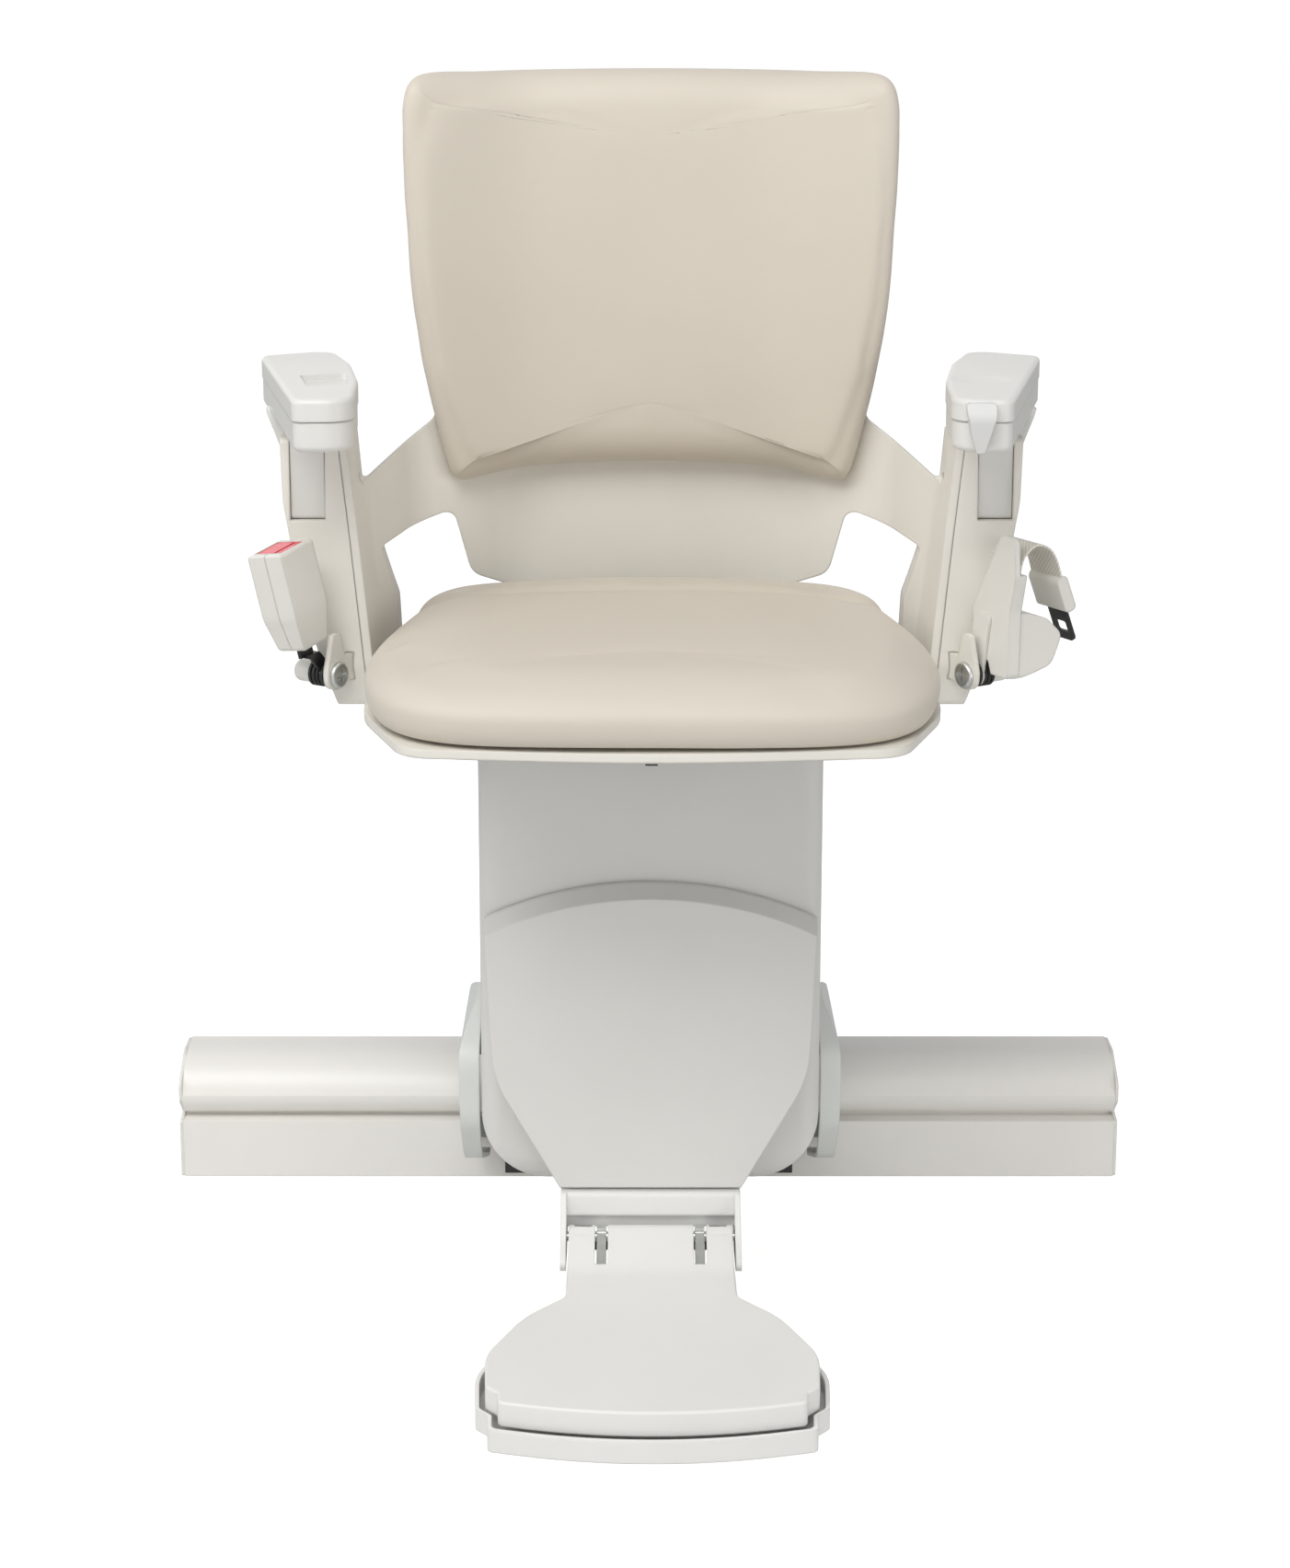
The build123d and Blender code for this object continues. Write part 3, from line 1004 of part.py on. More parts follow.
def reel_housing():
    """Moulded reel housing: a D-shaped drum beside a tall neck that lets the webbing out."""
    near = -2 - EYE_T
    drum_face = outline([(near, 3), (-18, 1), (-50, 10), (-60, 34), (-44, 49), (-26, 55), (near, 57)],
                        [0, 12, 14, 9, 14, 14, 0])
    drum_side = outline([(REEL_BACK, 14), (-13, 14), (-18, 1), (REEL_FRONT, 1), (REEL_FRONT, 60),
                         (REEL_BACK, 60)], [4, 3, 4, 5, 0, 0])
    drum = along_y(drum_face, REEL_FRONT, REEL_BACK) & along_x(drum_side, -61, near)
    neck_side = outline([(8, 14), (-13, 14), (-18, 3), (REEL_FRONT - 1, 3), (REEL_FRONT - 2, 58), (-46, 88),
                         (-44, 118), (-26, 120), (-18, 104), (9, 54)], [6, 3, 4, 4, 20, 14, 6, 8, 20, 16])
    neck = along_x(neck_side, NECK_OUT, near)
    body = drum + neck
    body -= block((NECK_OUT - 1, -9.5), (STRAP_FRONT - 6, STRAP_BACK + 6), (STRAP_PATH[0][1] - 0.35, 125))
    return at_right_anchor(body - rod_y(SPOOL_R + 1.5, REEL_FRONT + 3, REEL_BACK - 3, SPOOL_X, SPOOL_Z))


def belt_spool():
    """Spool with the wound webbing, inside the housing."""
    return at_right_anchor(rod_y(SPOOL_R, REEL_FRONT + 3 + RUN_GAP, REEL_BACK - 3 - RUN_GAP, SPOOL_X, SPOOL_Z))


def belt_strap():
    """Webbing that leaves the neck, loops over outwards and ends at the tongue."""
    path = Spline([Vector(x, z) for x, z in STRAP_PATH], tangents=[(0, 1), (-0.5, -1)])
    upper, lower = [], []
    for k in range(13):
        point, along = path.position_at(k / 12), path.tangent_at(k / 12)
        across_it = Vector(-along.Y, along.X) * (STRAP_T / 2)
        upper.append(point + across_it)
        lower.append(point - across_it)
    band = make_face(Curve() + [Spline(upper), Line(upper[-1], lower[-1]), Spline(lower), Line(lower[0], upper[0])])
    return at_right_anchor(along_y(band, STRAP_FRONT, STRAP_BACK))


def in_tongue_frame(shape):
    """From the tongue's own frame (Z up along it, from the webbing's end) to its place."""
    x, z = STRAP_PATH[-1]
    return at_right_anchor(Pos(x - 0.3, 0, z - 0.5) * Rot(0, TONGUE_LEAN, 0) * shape)


def tongue_cover():
    """Moulded grip of the tongue, at the end of the webbing."""
    grip = outline([(-5.5, -32), (5.5, -32), (5.5, 0), (-5.5, 0)], [4, 4, 5.49, 5.49])
    return in_tongue_frame(along_y(grip, STRAP_FRONT + 1, STRAP_BACK - 1))


def tongue_blade():
    """Steel tongue that locks in the buckle, with its latch window."""
    low, high = STRAP_FRONT + 8, STRAP_BACK - 8
    face = outline([(low, -62), (high, -62), (high, -32), (low, -32)], [5, 5, 0, 0])
    window = outline([(low + 5, -54), (high - 5, -54), (high - 5, -44), (low + 5, -44)], 2)
    return in_tongue_frame(along_x(face - window, -1.2, 1.2))


# ---- footrest -------------------------------------------------------------------------------
HINGE_BLOCK_HALF = 77.0
ARM_X = 42.0           # middle of each steel hinge arm
ARM_T = 8.0


def footrest_bracket():
    """Two steel arms from the chassis plate forward to the footrest hinge, with a cross plate."""
    bracket = None
    for side in (-1, 1):
        low, high = sorted((side * 54, side * 62))
        arm = outline([(CHASSIS_FRONT, -74), (CHASSIS_FRONT, MOTOR_Z - MOTOR_R - 2),
                       (-158, MOTOR_Z - MOTOR_R - 2), (-200, -30), (FOOT_PIVOT_Y + 42, -24),
                       (FOOT_PIVOT_Y + 2.8, FOOT_PIVOT_Z + 5), (FOOT_PIVOT_Y - 5.6, FOOT_PIVOT_Z - 4.2),
                       (FOOT_PIVOT_Y + 30, -42), (-180, -58)],
                      [0, 0, 20, 20, 16, 2, 2, 20, 20])
        plate = along_x(arm, low, high) + rod_x(7, low, high, FOOT_PIVOT_Y, FOOT_PIVOT_Z)
        bracket = plate if bracket is None else bracket + plate
    bracket += block((-62, 62), (-290, -284), (-44, -32))
    return bracket - rod_x(FOOT_PIN_R + PIN_FIT, -80, 80, FOOT_PIVOT_Y, FOOT_PIVOT_Z)


def hinge_block():
    """Moulded block in front of the carriage that covers the footrest hinge."""
    side = outline([(SHIELD_FOOT_Y + 45, 37), (SHIELD_FOOT_Y - 6, 37), (SHIELD_FOOT_Y - 8, 17),
                    (SHIELD_FOOT_Y - 3.4, 15), (SHIELD_FOOT_Y - 3.4, 5), (SHIELD_FOOT_Y, 5),
                    (SHIELD_FOOT_Y, 15), (SHIELD_FOOT_Y + 45, 15)], [0, 4, 3, 0, 1, 1, 4, 0])
    ear_side = outline([(SHIELD_FOOT_Y + 40, 37), (SHIELD_FOOT_Y - 6, 37), (FOOT_PIVOT_Y - 12, 10),
                        (FOOT_PIVOT_Y - 34, -8), (FOOT_PIVOT_Y - 30, -16), (FOOT_PIVOT_Y + 10, -16),
                        (SHIELD_FOOT_Y + 40, 0)], [0, 4, 12, 5, 6, 14, 0])
    cover = along_x(side, -HINGE_BLOCK_HALF, HINGE_BLOCK_HALF)
    for sign in (-1, 1):
        low, high = sorted((sign * (HINGE_BLOCK_HALF - 5), sign * HINGE_BLOCK_HALF))
        cover += along_x(ear_side, low, high)
    cover -= block((-64, 64), (-300.2, -290), (0, 40))
    return cover - rod_x(FOOT_PIN_R + PIN_FIT, -80, 80, FOOT_PIVOT_Y, FOOT_PIVOT_Z)


def footrest_pin():
    return rod_x(FOOT_PIN_R, -HINGE_BLOCK_HALF + 1, HINGE_BLOCK_HALF - 1, FOOT_PIVOT_Y, FOOT_PIVOT_Z)


def footrest_arms():
    """Two steel arms that turn on the hinge pin and carry the footplate."""
    arms = None
    for side in (-1, 1):
        low, high = side * ARM_X - ARM_T / 2, side * ARM_X + ARM_T / 2
        eye = rod_x(8, low, high, FOOT_PIVOT_Y, FOOT_PIVOT_Z)
        bar = outline([(FOOT_PIVOT_Y - 2.5, FOOT_PIVOT_Z + 7.4), (-396, FOOT_TOP - 5.5), (-404, FOOT_TOP - 7),
                       (-520, FOOT_TOP - 7), (-520, FOOT_TOP - FOOT_T + 3), (-400, FOOT_TOP - FOOT_T + 3),
                       (FOOT_PIVOT_Y - 1, FOOT_PIVOT_Z - 7.9)], [0, 3, 3, 0, 0, 20, 0])
        arm = eye + along_x(bar, low, high)
        arms = arm if arms is None else arms + arm
    arms += block((-ARM_X, ARM_X), (-520, -500), (FOOT_TOP - FOOT_T + 3, FOOT_TOP - 7))
    return arms - rod_x(FOOT_PIN_R + PIN_FIT, -80, 80, FOOT_PIVOT_Y, FOOT_PIVOT_Z)


def foot_outline(spread):
    """Plan of the footplate: a straight neck that flares to a wide, gently bowed front."""
    s = spread
    right = [(0, -640 - s), (118 + s, -612 - s), (119 + s, -598), (129 + s, -588), (132 + s, -540),
             (104 + s, -480), (71 + s * 0.3, -446), (70, FOOT_PIVOT_Y), (0, FOOT_PIVOT_Y)]
    radii = [460, 6, 3, 6, 60, 90, 14, 4, 0]
    return outline(mirrored(right), radii + radii[-2:0:-1])


NECK_TOP = FOOT_PIVOT_Z + 10.5
NECK_SKIN = 3.2


def neck_section(lift, low):
    """Side view of the neck's ramp, from the hinge down to the flat of the plate."""
    return outline([(FOOT_PIVOT_Y, low), (FOOT_PIVOT_Y, NECK_TOP - lift), (FOOT_PIVOT_Y - 6, NECK_TOP - lift),
                    (-402, FOOT_TOP - lift), (-430, FOOT_TOP - lift), (-430, low)], [0, 0, 8, 40, 0, 0])


def footplate():
    """Moulded footplate, hollow underneath: a ramped neck with slots for the arms, and a flat tread."""
    plate = along_z(foot_outline(0), FOOT_TOP - FOOT_T, FOOT_TOP)
    inside = mirrored([(0, -630), (110, -602), (121, -582), (123, -540), (97, -486), (64, -452),
                       (64, FOOT_PIVOT_Y - 5), (0, FOOT_PIVOT_Y - 5)])
    radii = [300, 8, 20, 50, 80, 14, 0, 0]
    plate = fillet(plate.faces().sort_by(Axis.Z)[-1].edges().filter_by_position(Axis.Y, -700, -440), 2)
    plate += along_x(neck_section(0, FOOT_TOP - FOOT_T), -70, 70)
    plate -= along_z(outline(inside, radii + radii[-2:0:-1]), FOOT_TOP - FOOT_T - 1, FOOT_TOP - 5)
    plate -= along_x(neck_section(NECK_SKIN, FOOT_TOP - FOOT_T - 1), -64, 64)
    for side in (-1, 1):
        x = sorted((side * 50, side * 65))
        plate -= block(x, (FOOT_PIVOT_Y - 12, FOOT_PIVOT_Y + 1), (FOOT_TOP - FOOT_T - 1, FOOT_PIVOT_Z + 7.3))
        plate -= block(x, (FOOT_PIVOT_Y - 3, FOOT_PIVOT_Y + 1), (FOOT_PIVOT_Z, NECK_TOP + 1))
        plate -= block((side * ARM_X - ARM_T / 2 - 1.5, side * ARM_X + ARM_T / 2 + 1.5),
                       (-396, FOOT_PIVOT_Y + 1), (FOOT_TOP - FOOT_T - 1, NECK_TOP + 1))
    return plate - rod_x(FOOT_PIN_R + PIN_FIT, -80, 80, FOOT_PIVOT_Y, FOOT_PIVOT_Z)


PAN_LOW = FOOT_TOP - FOOT_T - PAN_TRAVEL - 4 - FOOT_PAN_T
PAN_FLOOR = 3.0


def foot_pan():
    """Safety pan under the footplate; its raised rim shows all round the front."""
    front_only = block((-200, 200), (-700, -500), (-80, 0))
    floor_only = block((-200, 200), (-700, -420), (-80, 0))
    rim = along_z(foot_outline(8), PAN_LOW, PAN_LOW + 18) & front_only
    rim -= along_z(foot_outline(4.5), PAN_LOW + PAN_FLOOR, PAN_LOW + 19)
    floor = along_z(foot_outline(-2), PAN_LOW, PAN_LOW + PAN_FLOOR) & floor_only
    pan = rim + floor
    for x, y in pan_screw_places():
        pan -= rod_z(4, PAN_LOW - 1, PAN_LOW + PAN_FLOOR + 1, x, y)
    return pan


def pan_screw_places():
    return [(side * ARM_X, y) for side in (-1, 1) for y in (-470, -512)]


def pan_screws():
    """Shouldered screws under the steel arms; the pan hangs on their heads and can rise."""
    screws = []
    for x, y in pan_screw_places():
        shank = rod_z(3, PAN_LOW - SEAT_GAP, FOOT_TOP - FOOT_T + 3, x, y)
        screws.append(shank + rod_z(6.5, PAN_LOW - SEAT_GAP - 3, PAN_LOW - SEAT_GAP, x, y))
    return Compound(children=screws)


# ---- the whole chair ------------------------------------------------------------------------
def left(shape):
    return mirror(shape, Plane.YZ)


def main():
    nodes = {
        "rail": rail(), "rail_end_caps": rail_end_caps(), "rack": rack(), "drive_pinion": pinion(),
        "chassis_plate": chassis_plate(), "roller_axles": roller_axles(), "post": post(),
        "gearbox": gearbox(), "motor": motor(), "battery_tray": battery_tray(),
        "batteries": batteries(), "control_board": control_board(),
        "column_cover": column_cover(), "front_shield": front_shield(),
        "side_cover_right": side_cover(), "side_cover_left": left(side_cover()),
        "post_head": post_head(), "bearing_ring": bearing_ring(), "swivel_plate": swivel_plate(),
        "swivel_lever": swivel_lever(), "seat_frame": seat_frame(),
        "seat_pins": seat_pins(), "seat_pan": seat_pan(), "seat_cushion": seat_cushion(),
        "back_shell": back_shell(), "upright_covers": both_sides(upright_cover()),
        "back_cushion": back_cushion(),
        "armrest_cover_left": armrest_cover_left(), "armrest_cover_right": armrest_cover_right(),
        "armrest_casing_left": left(armrest_casing()), "armrest_casing_right": armrest_casing(),
        "armrest_leg_left": left(armrest_leg()), "armrest_leg_right": armrest_leg(),
        "joystick": joystick(),
        "anchor_lugs": anchor_lugs(), "anchor_bolts": anchor_bolts(),
        "anchor_washers": anchor_washers(), "anchor_caps": anchor_caps(),
        "buckle_half_inner": buckle_half(1), "buckle_half_outer": buckle_half(-1),
        "buckle_button": buckle_button(), "buckle_stalk": buckle_stalk(),
        "reel_bracket": reel_bracket(), "reel_housing": reel_housing(), "belt_spool": belt_spool(),
        "belt_strap": belt_strap(), "tongue_cover": tongue_cover(), "tongue_blade": tongue_blade(),
        "footrest_bracket": footrest_bracket(), "hinge_block": hinge_block(),
        "footrest_pin": footrest_pin(), "footrest_arms": footrest_arms(),
        "footplate": footplate(), "foot_pan": foot_pan(), "pan_screws": pan_screws(),
    }
    for name, x, z, radius, front, back in roller_places():
        nodes[name] = roller(x, z, radius, front, back)
    os.makedirs("parts", exist_ok=True)
    for name, shape in nodes.items():
        shape.label = name
        export_step(shape, "parts/" + name + ".step")


main()
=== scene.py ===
import math

import bmesh
import bpy
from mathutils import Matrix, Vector, geometry


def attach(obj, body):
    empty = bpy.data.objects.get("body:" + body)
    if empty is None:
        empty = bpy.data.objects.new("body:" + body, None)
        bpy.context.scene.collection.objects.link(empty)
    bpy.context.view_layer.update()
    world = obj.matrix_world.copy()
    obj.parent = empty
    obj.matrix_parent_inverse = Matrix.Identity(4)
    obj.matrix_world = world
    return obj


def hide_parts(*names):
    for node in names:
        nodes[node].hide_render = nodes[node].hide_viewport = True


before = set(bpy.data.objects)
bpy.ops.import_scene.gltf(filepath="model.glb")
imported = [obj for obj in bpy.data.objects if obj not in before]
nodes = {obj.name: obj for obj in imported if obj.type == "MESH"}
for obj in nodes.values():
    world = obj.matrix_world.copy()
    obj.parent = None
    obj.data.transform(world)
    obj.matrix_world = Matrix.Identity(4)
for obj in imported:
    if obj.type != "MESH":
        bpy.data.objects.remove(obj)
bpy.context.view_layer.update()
scene = bpy.context.scene
scene.view_settings.view_transform = "Standard"

# ---- Camera ---------------------------------------------------------------------------
# A short telephoto on a tripod, level with the top of the back and tipped down by eleven
# degrees. The lens is shifted down, which keeps the footrest in the frame.
camera_data = bpy.data.cameras.new("camera")
camera = bpy.data.objects.new("camera", camera_data)
scene.collection.objects.link(camera)
camera.location = (-0.015, -2.402, 1.022)
CAMERA_TIP = 10.85
camera.rotation_euler = (math.radians(90 - CAMERA_TIP), 0, 0)
camera_data.lens = 58.94
camera_data.sensor_width = 36
camera_data.shift_x = 0.0076
camera_data.shift_y = -0.1702
camera_data.clip_start = 0.05
camera_data.clip_end = 60
scene.camera = camera

# ---- Studio floor ---------------------------------------------------------------------
# A seamless white sweep well below the hanging carriage. It is white to the camera and a
# pale warm grey to the object, so it holds a faint shadow and bounces a little light.
FLOOR_Z = -0.16
bpy.ops.object.select_all(action="DESELECT")
bpy.ops.mesh.primitive_plane_add(size=30, location=(0, 0, FLOOR_Z))
floor = bpy.context.object
floor.name = "studio_floor"
sweep = bpy.data.materials.new("white_sweep")
sweep.use_nodes = True
nt = sweep.node_tree
nt.nodes.clear()
out = nt.nodes.new("ShaderNodeOutputMaterial")
matt = nt.nodes.new("ShaderNodeBsdfDiffuse")
matt.inputs["Color"].default_value = (0.80, 0.80, 0.79, 1)
glow = nt.nodes.new("ShaderNodeEmission")
glow.inputs["Color"].default_value = (1, 1, 1, 1)
glow.inputs["Strength"].default_value = 0.80
lifted = nt.nodes.new("ShaderNodeAddShader")
nt.links.new(matt.outputs[0], lifted.inputs[0])
nt.links.new(glow.outputs[0], lifted.inputs[1])
path = nt.nodes.new("ShaderNodeLightPath")
mix = nt.nodes.new("ShaderNodeMixShader")
nt.links.new(path.outputs["Is Camera Ray"], mix.inputs[0])
nt.links.new(matt.outputs[0], mix.inputs[1])
nt.links.new(lifted.outputs[0], mix.inputs[2])
nt.links.new(mix.outputs[0], out.inputs["Surface"])
floor.data.materials.append(sweep)

world = bpy.data.worlds.new("studio")
scene.world = world
world.use_nodes = True
nt = world.node_tree
nt.nodes.clear()
out = nt.nodes.new("ShaderNodeOutputWorld")
room = nt.nodes.new("ShaderNodeBackground")
room.inputs["Color"].default_value = (0.98, 0.99, 1.0, 1)
room.inputs["Strength"].default_value = 0.33
white = nt.nodes.new("ShaderNodeBackground")
white.inputs["Color"].default_value = (1, 1, 1, 1)
white.inputs["Strength"].default_value = 1.0
path = nt.nodes.new("ShaderNodeLightPath")
seen = nt.nodes.new("ShaderNodeMath")
seen.operation = "MAXIMUM"
mix = nt.nodes.new("ShaderNodeMixShader")
nt.links.new(path.outputs["Is Camera Ray"], seen.inputs[0])
nt.links.new(path.outputs["Is Glossy Ray"], seen.inputs[1])
nt.links.new(seen.outputs[0], mix.inputs[0])
nt.links.new(room.outputs[0], mix.inputs[1])
nt.links.new(white.outputs[0], mix.inputs[2])
nt.links.new(mix.outputs[0], out.inputs["Surface"])

# ---- Studio lamps ---------------------------------------------------------------------
# One big overhead soft box a little in front of the chair, a weaker one at each side and
# a low front fill that keeps the column readable under the seat.
def soft_box(name, place, aim, width, height, watts, tint):
    """An area lamp at one place that faces another."""
    data = bpy.data.lights.new(name, "AREA")
    data.shape = "RECTANGLE"
    data.size, data.size_y = width, height
    data.energy = watts
    data.color = tint
    lamp = bpy.data.objects.new(name, data)
    scene.collection.objects.link(lamp)
    lamp.location = place
    lamp.rotation_euler = (Vector(aim) - Vector(place)).to_track_quat("-Z", "Y").to_euler()


soft_box("overhead_box", (-0.7, -2.1, 2.8), (0, -0.25, 0.3),
         2.4, 1.6, 58, (1.0, 0.99, 0.97))
soft_box("left_box", (-2.7, -1.2, 1.9), (0, -0.2, 0.5),
         1.3, 2.0, 18, (1.0, 1.0, 1.0))
soft_box("right_box", (2.6, -1.9, 0.7), (0.35, -0.15, 0.0),
         1.4, 1.2, 14, (1.0, 0.98, 0.96))
soft_box("front_fill", (0.2, -3.0, 0.05), (0.05, -0.1, -0.05),
         3.0, 0.6, 6, (1.0, 1.0, 1.0))

# ---- Rail -----------------------------------------------------------------------------
# The extruded rail is powder coated in warm cream. The coat has a faint orange peel, and
# its arrises catch the light; the cut ends wear plain moulded caps.
COLOUR_DRIFT = 0.03
ROUGHNESS_DRIFT = 0.06


def blank_material(name):
    """A node material, with its tree and its shader."""
    material = bpy.data.materials.new(name)
    material.use_nodes = True
    return material, material.node_tree, material.node_tree.nodes["Principled BSDF"]


def noise(tree, place, scale, detail):
    """Noise over the object's own coordinates."""
    node = tree.nodes.new("ShaderNodeTexNoise")
    node.inputs["Scale"].default_value = scale
    node.inputs["Detail"].default_value = detail
    tree.links.new(place.outputs["Object"], node.inputs["Vector"])
    return node


def two_tone(tree, factor, shader, low, high, start, end):
    """Base colour that runs from low to high as the factor runs from start to end."""
    ramp = tree.nodes.new("ShaderNodeValToRGB")
    ramp.color_ramp.elements[0].position = start
    ramp.color_ramp.elements[1].position = end
    ramp.color_ramp.elements[0].color = (*low, 1)
    ramp.color_ramp.elements[1].color = (*high, 1)
    tree.links.new(factor, ramp.inputs["Fac"])
    tree.links.new(ramp.outputs["Color"], shader.inputs["Base Color"])


def vary_roughness(tree, factor, shader, low, high):
    rough = tree.nodes.new("ShaderNodeMapRange")
    rough.inputs["To Min"].default_value = low
    rough.inputs["To Max"].default_value = high
    tree.links.new(factor, rough.inputs["Value"])
    tree.links.new(rough.outputs["Result"], shader.inputs["Roughness"])


def relief(tree, height, shader, strength, distance):
    """Fine bump, in metres."""
    bump = tree.nodes.new("ShaderNodeBump")
    bump.inputs["Strength"].default_value = strength
    bump.inputs["Distance"].default_value = distance
    tree.links.new(height, bump.inputs["Height"])
    tree.links.new(bump.outputs["Normal"], shader.inputs["Normal"])
    return bump


def surface(name, colour, roughness, peel_scale, peel_height, arris=0.0012, metallic=0.0,
            coat=0.0):
    """A painted or moulded finish: slight drift of colour, fine relief and softened arrises."""
    material, tree, shader = blank_material(name)
    shader.inputs["Metallic"].default_value = metallic
    shader.inputs["Coat Weight"].default_value = coat
    place = tree.nodes.new("ShaderNodeTexCoord")
    cloud = noise(tree, place, 9, 3)
    low = [c * (1 - COLOUR_DRIFT) for c in colour]
    two_tone(tree, cloud.outputs["Fac"], shader, low, colour, 0.3, 0.7)
    grain = noise(tree, place, peel_scale, 2)
    vary_roughness(tree, grain.outputs["Fac"], shader, max(0.03, roughness - ROUGHNESS_DRIFT),
                   min(1.0, roughness + ROUGHNESS_DRIFT))
    bump = relief(tree, grain.outputs["Fac"], shader, 0.5, peel_height)
    edge = tree.nodes.new("ShaderNodeBevel")
    edge.samples = 6
    edge.inputs["Radius"].default_value = arris
    tree.links.new(edge.outputs["Normal"], bump.inputs["Normal"])
    return material


def dress(material, *names):
    """Gives CAD nodes their finish through their objects' material slots."""
    for name in names:
        for place in nodes[name].material_slots:
            place.link = "OBJECT"
            place.material = material


dress(surface("cream_powder_coat", (0.92, 0.90, 0.86), 0.34, 900, 0.00005, arris=0.0015), "rail")
dress(surface("cap_plastic", (0.86, 0.85, 0.81), 0.5, 1400, 0.00004), "rail_end_caps")

# ---- Rack and drive pinion ------------------------------------------------------------
# Cut steel rack in the rail's underside and the hardened pinion that climbs it. Both are
# machined bright and greased, and wear one even steel finish.
machined = surface("machined_steel", (0.52, 0.53, 0.54), 0.32, 260, 0.00003, arris=0.0003,
                   metallic=1.0)
dress(machined, "rack", "drive_pinion")

# ---- Carriage chassis -----------------------------------------------------------------
# Laser-cut steel plate, box post, head plate, footrest bracket and battery tray, coated in
# satin black. From the front only slivers of it show in the gaps.
black_coat = surface("black_powder_coat", (0.030, 0.030, 0.032), 0.42, 700, 0.00006)
dress(black_coat, "chassis_plate", "post", "post_head", "footrest_bracket", "battery_tray")

# ---- Rollers and axles ----------------------------------------------------------------
# Four turned nylon rollers on shouldered zinc-plated axles. The upper pair has flanges
# that hook behind the runway.
nylon = surface("turned_nylon", (0.72, 0.70, 0.63), 0.38, 500, 0.00003, arris=0.0005)
zinc = surface("zinc_plate", (0.60, 0.61, 0.60), 0.30, 320, 0.00003, arris=0.0004, metallic=1.0)
dress(nylon, "upper_roller_left", "upper_roller_right", "lower_roller_left", "lower_roller_right")
dress(zinc, "roller_axles", "footrest_pin", "seat_pins", "pan_screws")

# ---- Drive and power ------------------------------------------------------------------
# Cast gearbox and motor in black enamel, two sealed batteries on their shelf and the
# control board with its relays, all inside the column.
enamel = surface("motor_enamel", (0.022, 0.022, 0.024), 0.36, 420, 0.00008)
dress(enamel, "gearbox", "motor")
dress(surface("battery_case", (0.055, 0.058, 0.062), 0.55, 1200, 0.00005), "batteries")
dress(surface("solder_mask", (0.02, 0.11, 0.05), 0.28, 1600, 0.00003, coat=0.3), "control_board")
dress(surface("bearing_bronze", (0.62, 0.43, 0.20), 0.34, 300, 0.00003, metallic=1.0),
      "bearing_ring")

# ---- Column cover and front shield ----------------------------------------------------
# Injection-moulded covers in light grey-white with a fine spark-eroded texture. The
# shield stands proud of the column, and its arched top is bevelled.
carriage_plastic = surface("carriage_plastic", (0.75, 0.745, 0.72), 0.46, 1500, 0.00005,
                           arris=0.0022)
dress(carriage_plastic, "column_cover", "front_shield")

# ---- Side covers ----------------------------------------------------------------------
# Safety edges either side of the carriage, moulded in a cooler, slightly green grey. They
# float on pegs and stop the drive when pressed.
edge_plastic = surface("edge_plastic", (0.80, 0.82, 0.795), 0.40, 1500, 0.00005, arris=0.0025)
dress(edge_plastic, "side_cover_right", "side_cover_left")

# ---- Swivel and seat frame ------------------------------------------------------------
# Steel swivel plate, cradle and hinge lugs under the seat in the same satin black, with
# the release lever that crosses below the cushion.
dress(black_coat, "swivel_plate", "seat_frame", "swivel_lever")

# ---- Seat pan -------------------------------------------------------------------------
# Ribbed pan moulded in warm off-white. Its thin lip shows as a pale line all round the
# bottom of the cushion.
shell_plastic = surface("shell_plastic", (0.80, 0.775, 0.715), 0.42, 1500, 0.00005, arris=0.0025)
dress(shell_plastic, "seat_pan")

# ---- Seat cushion ---------------------------------------------------------------------
# Moulded foam in a stretched cover of pale coated cloth: a wide front lobe and a narrower
# rear one, parted by a soft crease. The cover is drawn in under the foam and has no piping.
def upholstery(name, colour, shade):
    """Coated cloth with a fine pebble grain, a little sheen and slight clouding."""
    material, tree, shader = blank_material(name)
    shader.inputs["Sheen Weight"].default_value = 0.12
    shader.inputs["Sheen Roughness"].default_value = 0.45
    shader.inputs["Specular IOR Level"].default_value = 0.42
    place = tree.nodes.new("ShaderNodeTexCoord")
    cloud = noise(tree, place, 6, 4)
    two_tone(tree, cloud.outputs["Fac"], shader, shade, colour, 0.25, 0.75)
    pebble = tree.nodes.new("ShaderNodeTexVoronoi")
    pebble.feature = "SMOOTH_F1"
    pebble.inputs["Scale"].default_value = 900
    pebble.inputs["Smoothness"].default_value = 0.6
    tree.links.new(place.outputs["Object"], pebble.inputs["Vector"])
    vary_roughness(tree, pebble.outputs["Distance"], shader, 0.46, 0.60)
    relief(tree, pebble.outputs["Distance"], shader, 0.35, 0.00012)
    return material


def pick(obj):
    """Leaves one object selected and active."""
    bpy.ops.object.select_all(action="DESELECT")
    bpy.context.view_layer.objects.active = obj
    obj.select_set(True)


CLOTH_FRAMES = 20


def swell(pad, cap, pressure):
    """Lets cloth pressure fill the cover, moving no point by more than the cap."""
    pick(pad)
    before = [v.co.copy() for v in pad.data.vertices]
    cloth = pad.modifiers.new("cloth", "CLOTH")
    cloth.settings.use_pressure = True
    cloth.settings.uniform_pressure_force = pressure
    cloth.settings.effector_weights.gravity = 0
    cloth.settings.quality = 4
    for step in range(1, CLOTH_FRAMES + 1):
        scene.frame_set(step)
    bpy.ops.object.modifier_apply(modifier=cloth.name)
    scene.frame_set(1)
    for vertex, start in zip(pad.data.vertices, before):
        move = vertex.co - start
        if move.length > cap:
            vertex.co = start + move * (cap / move.length)


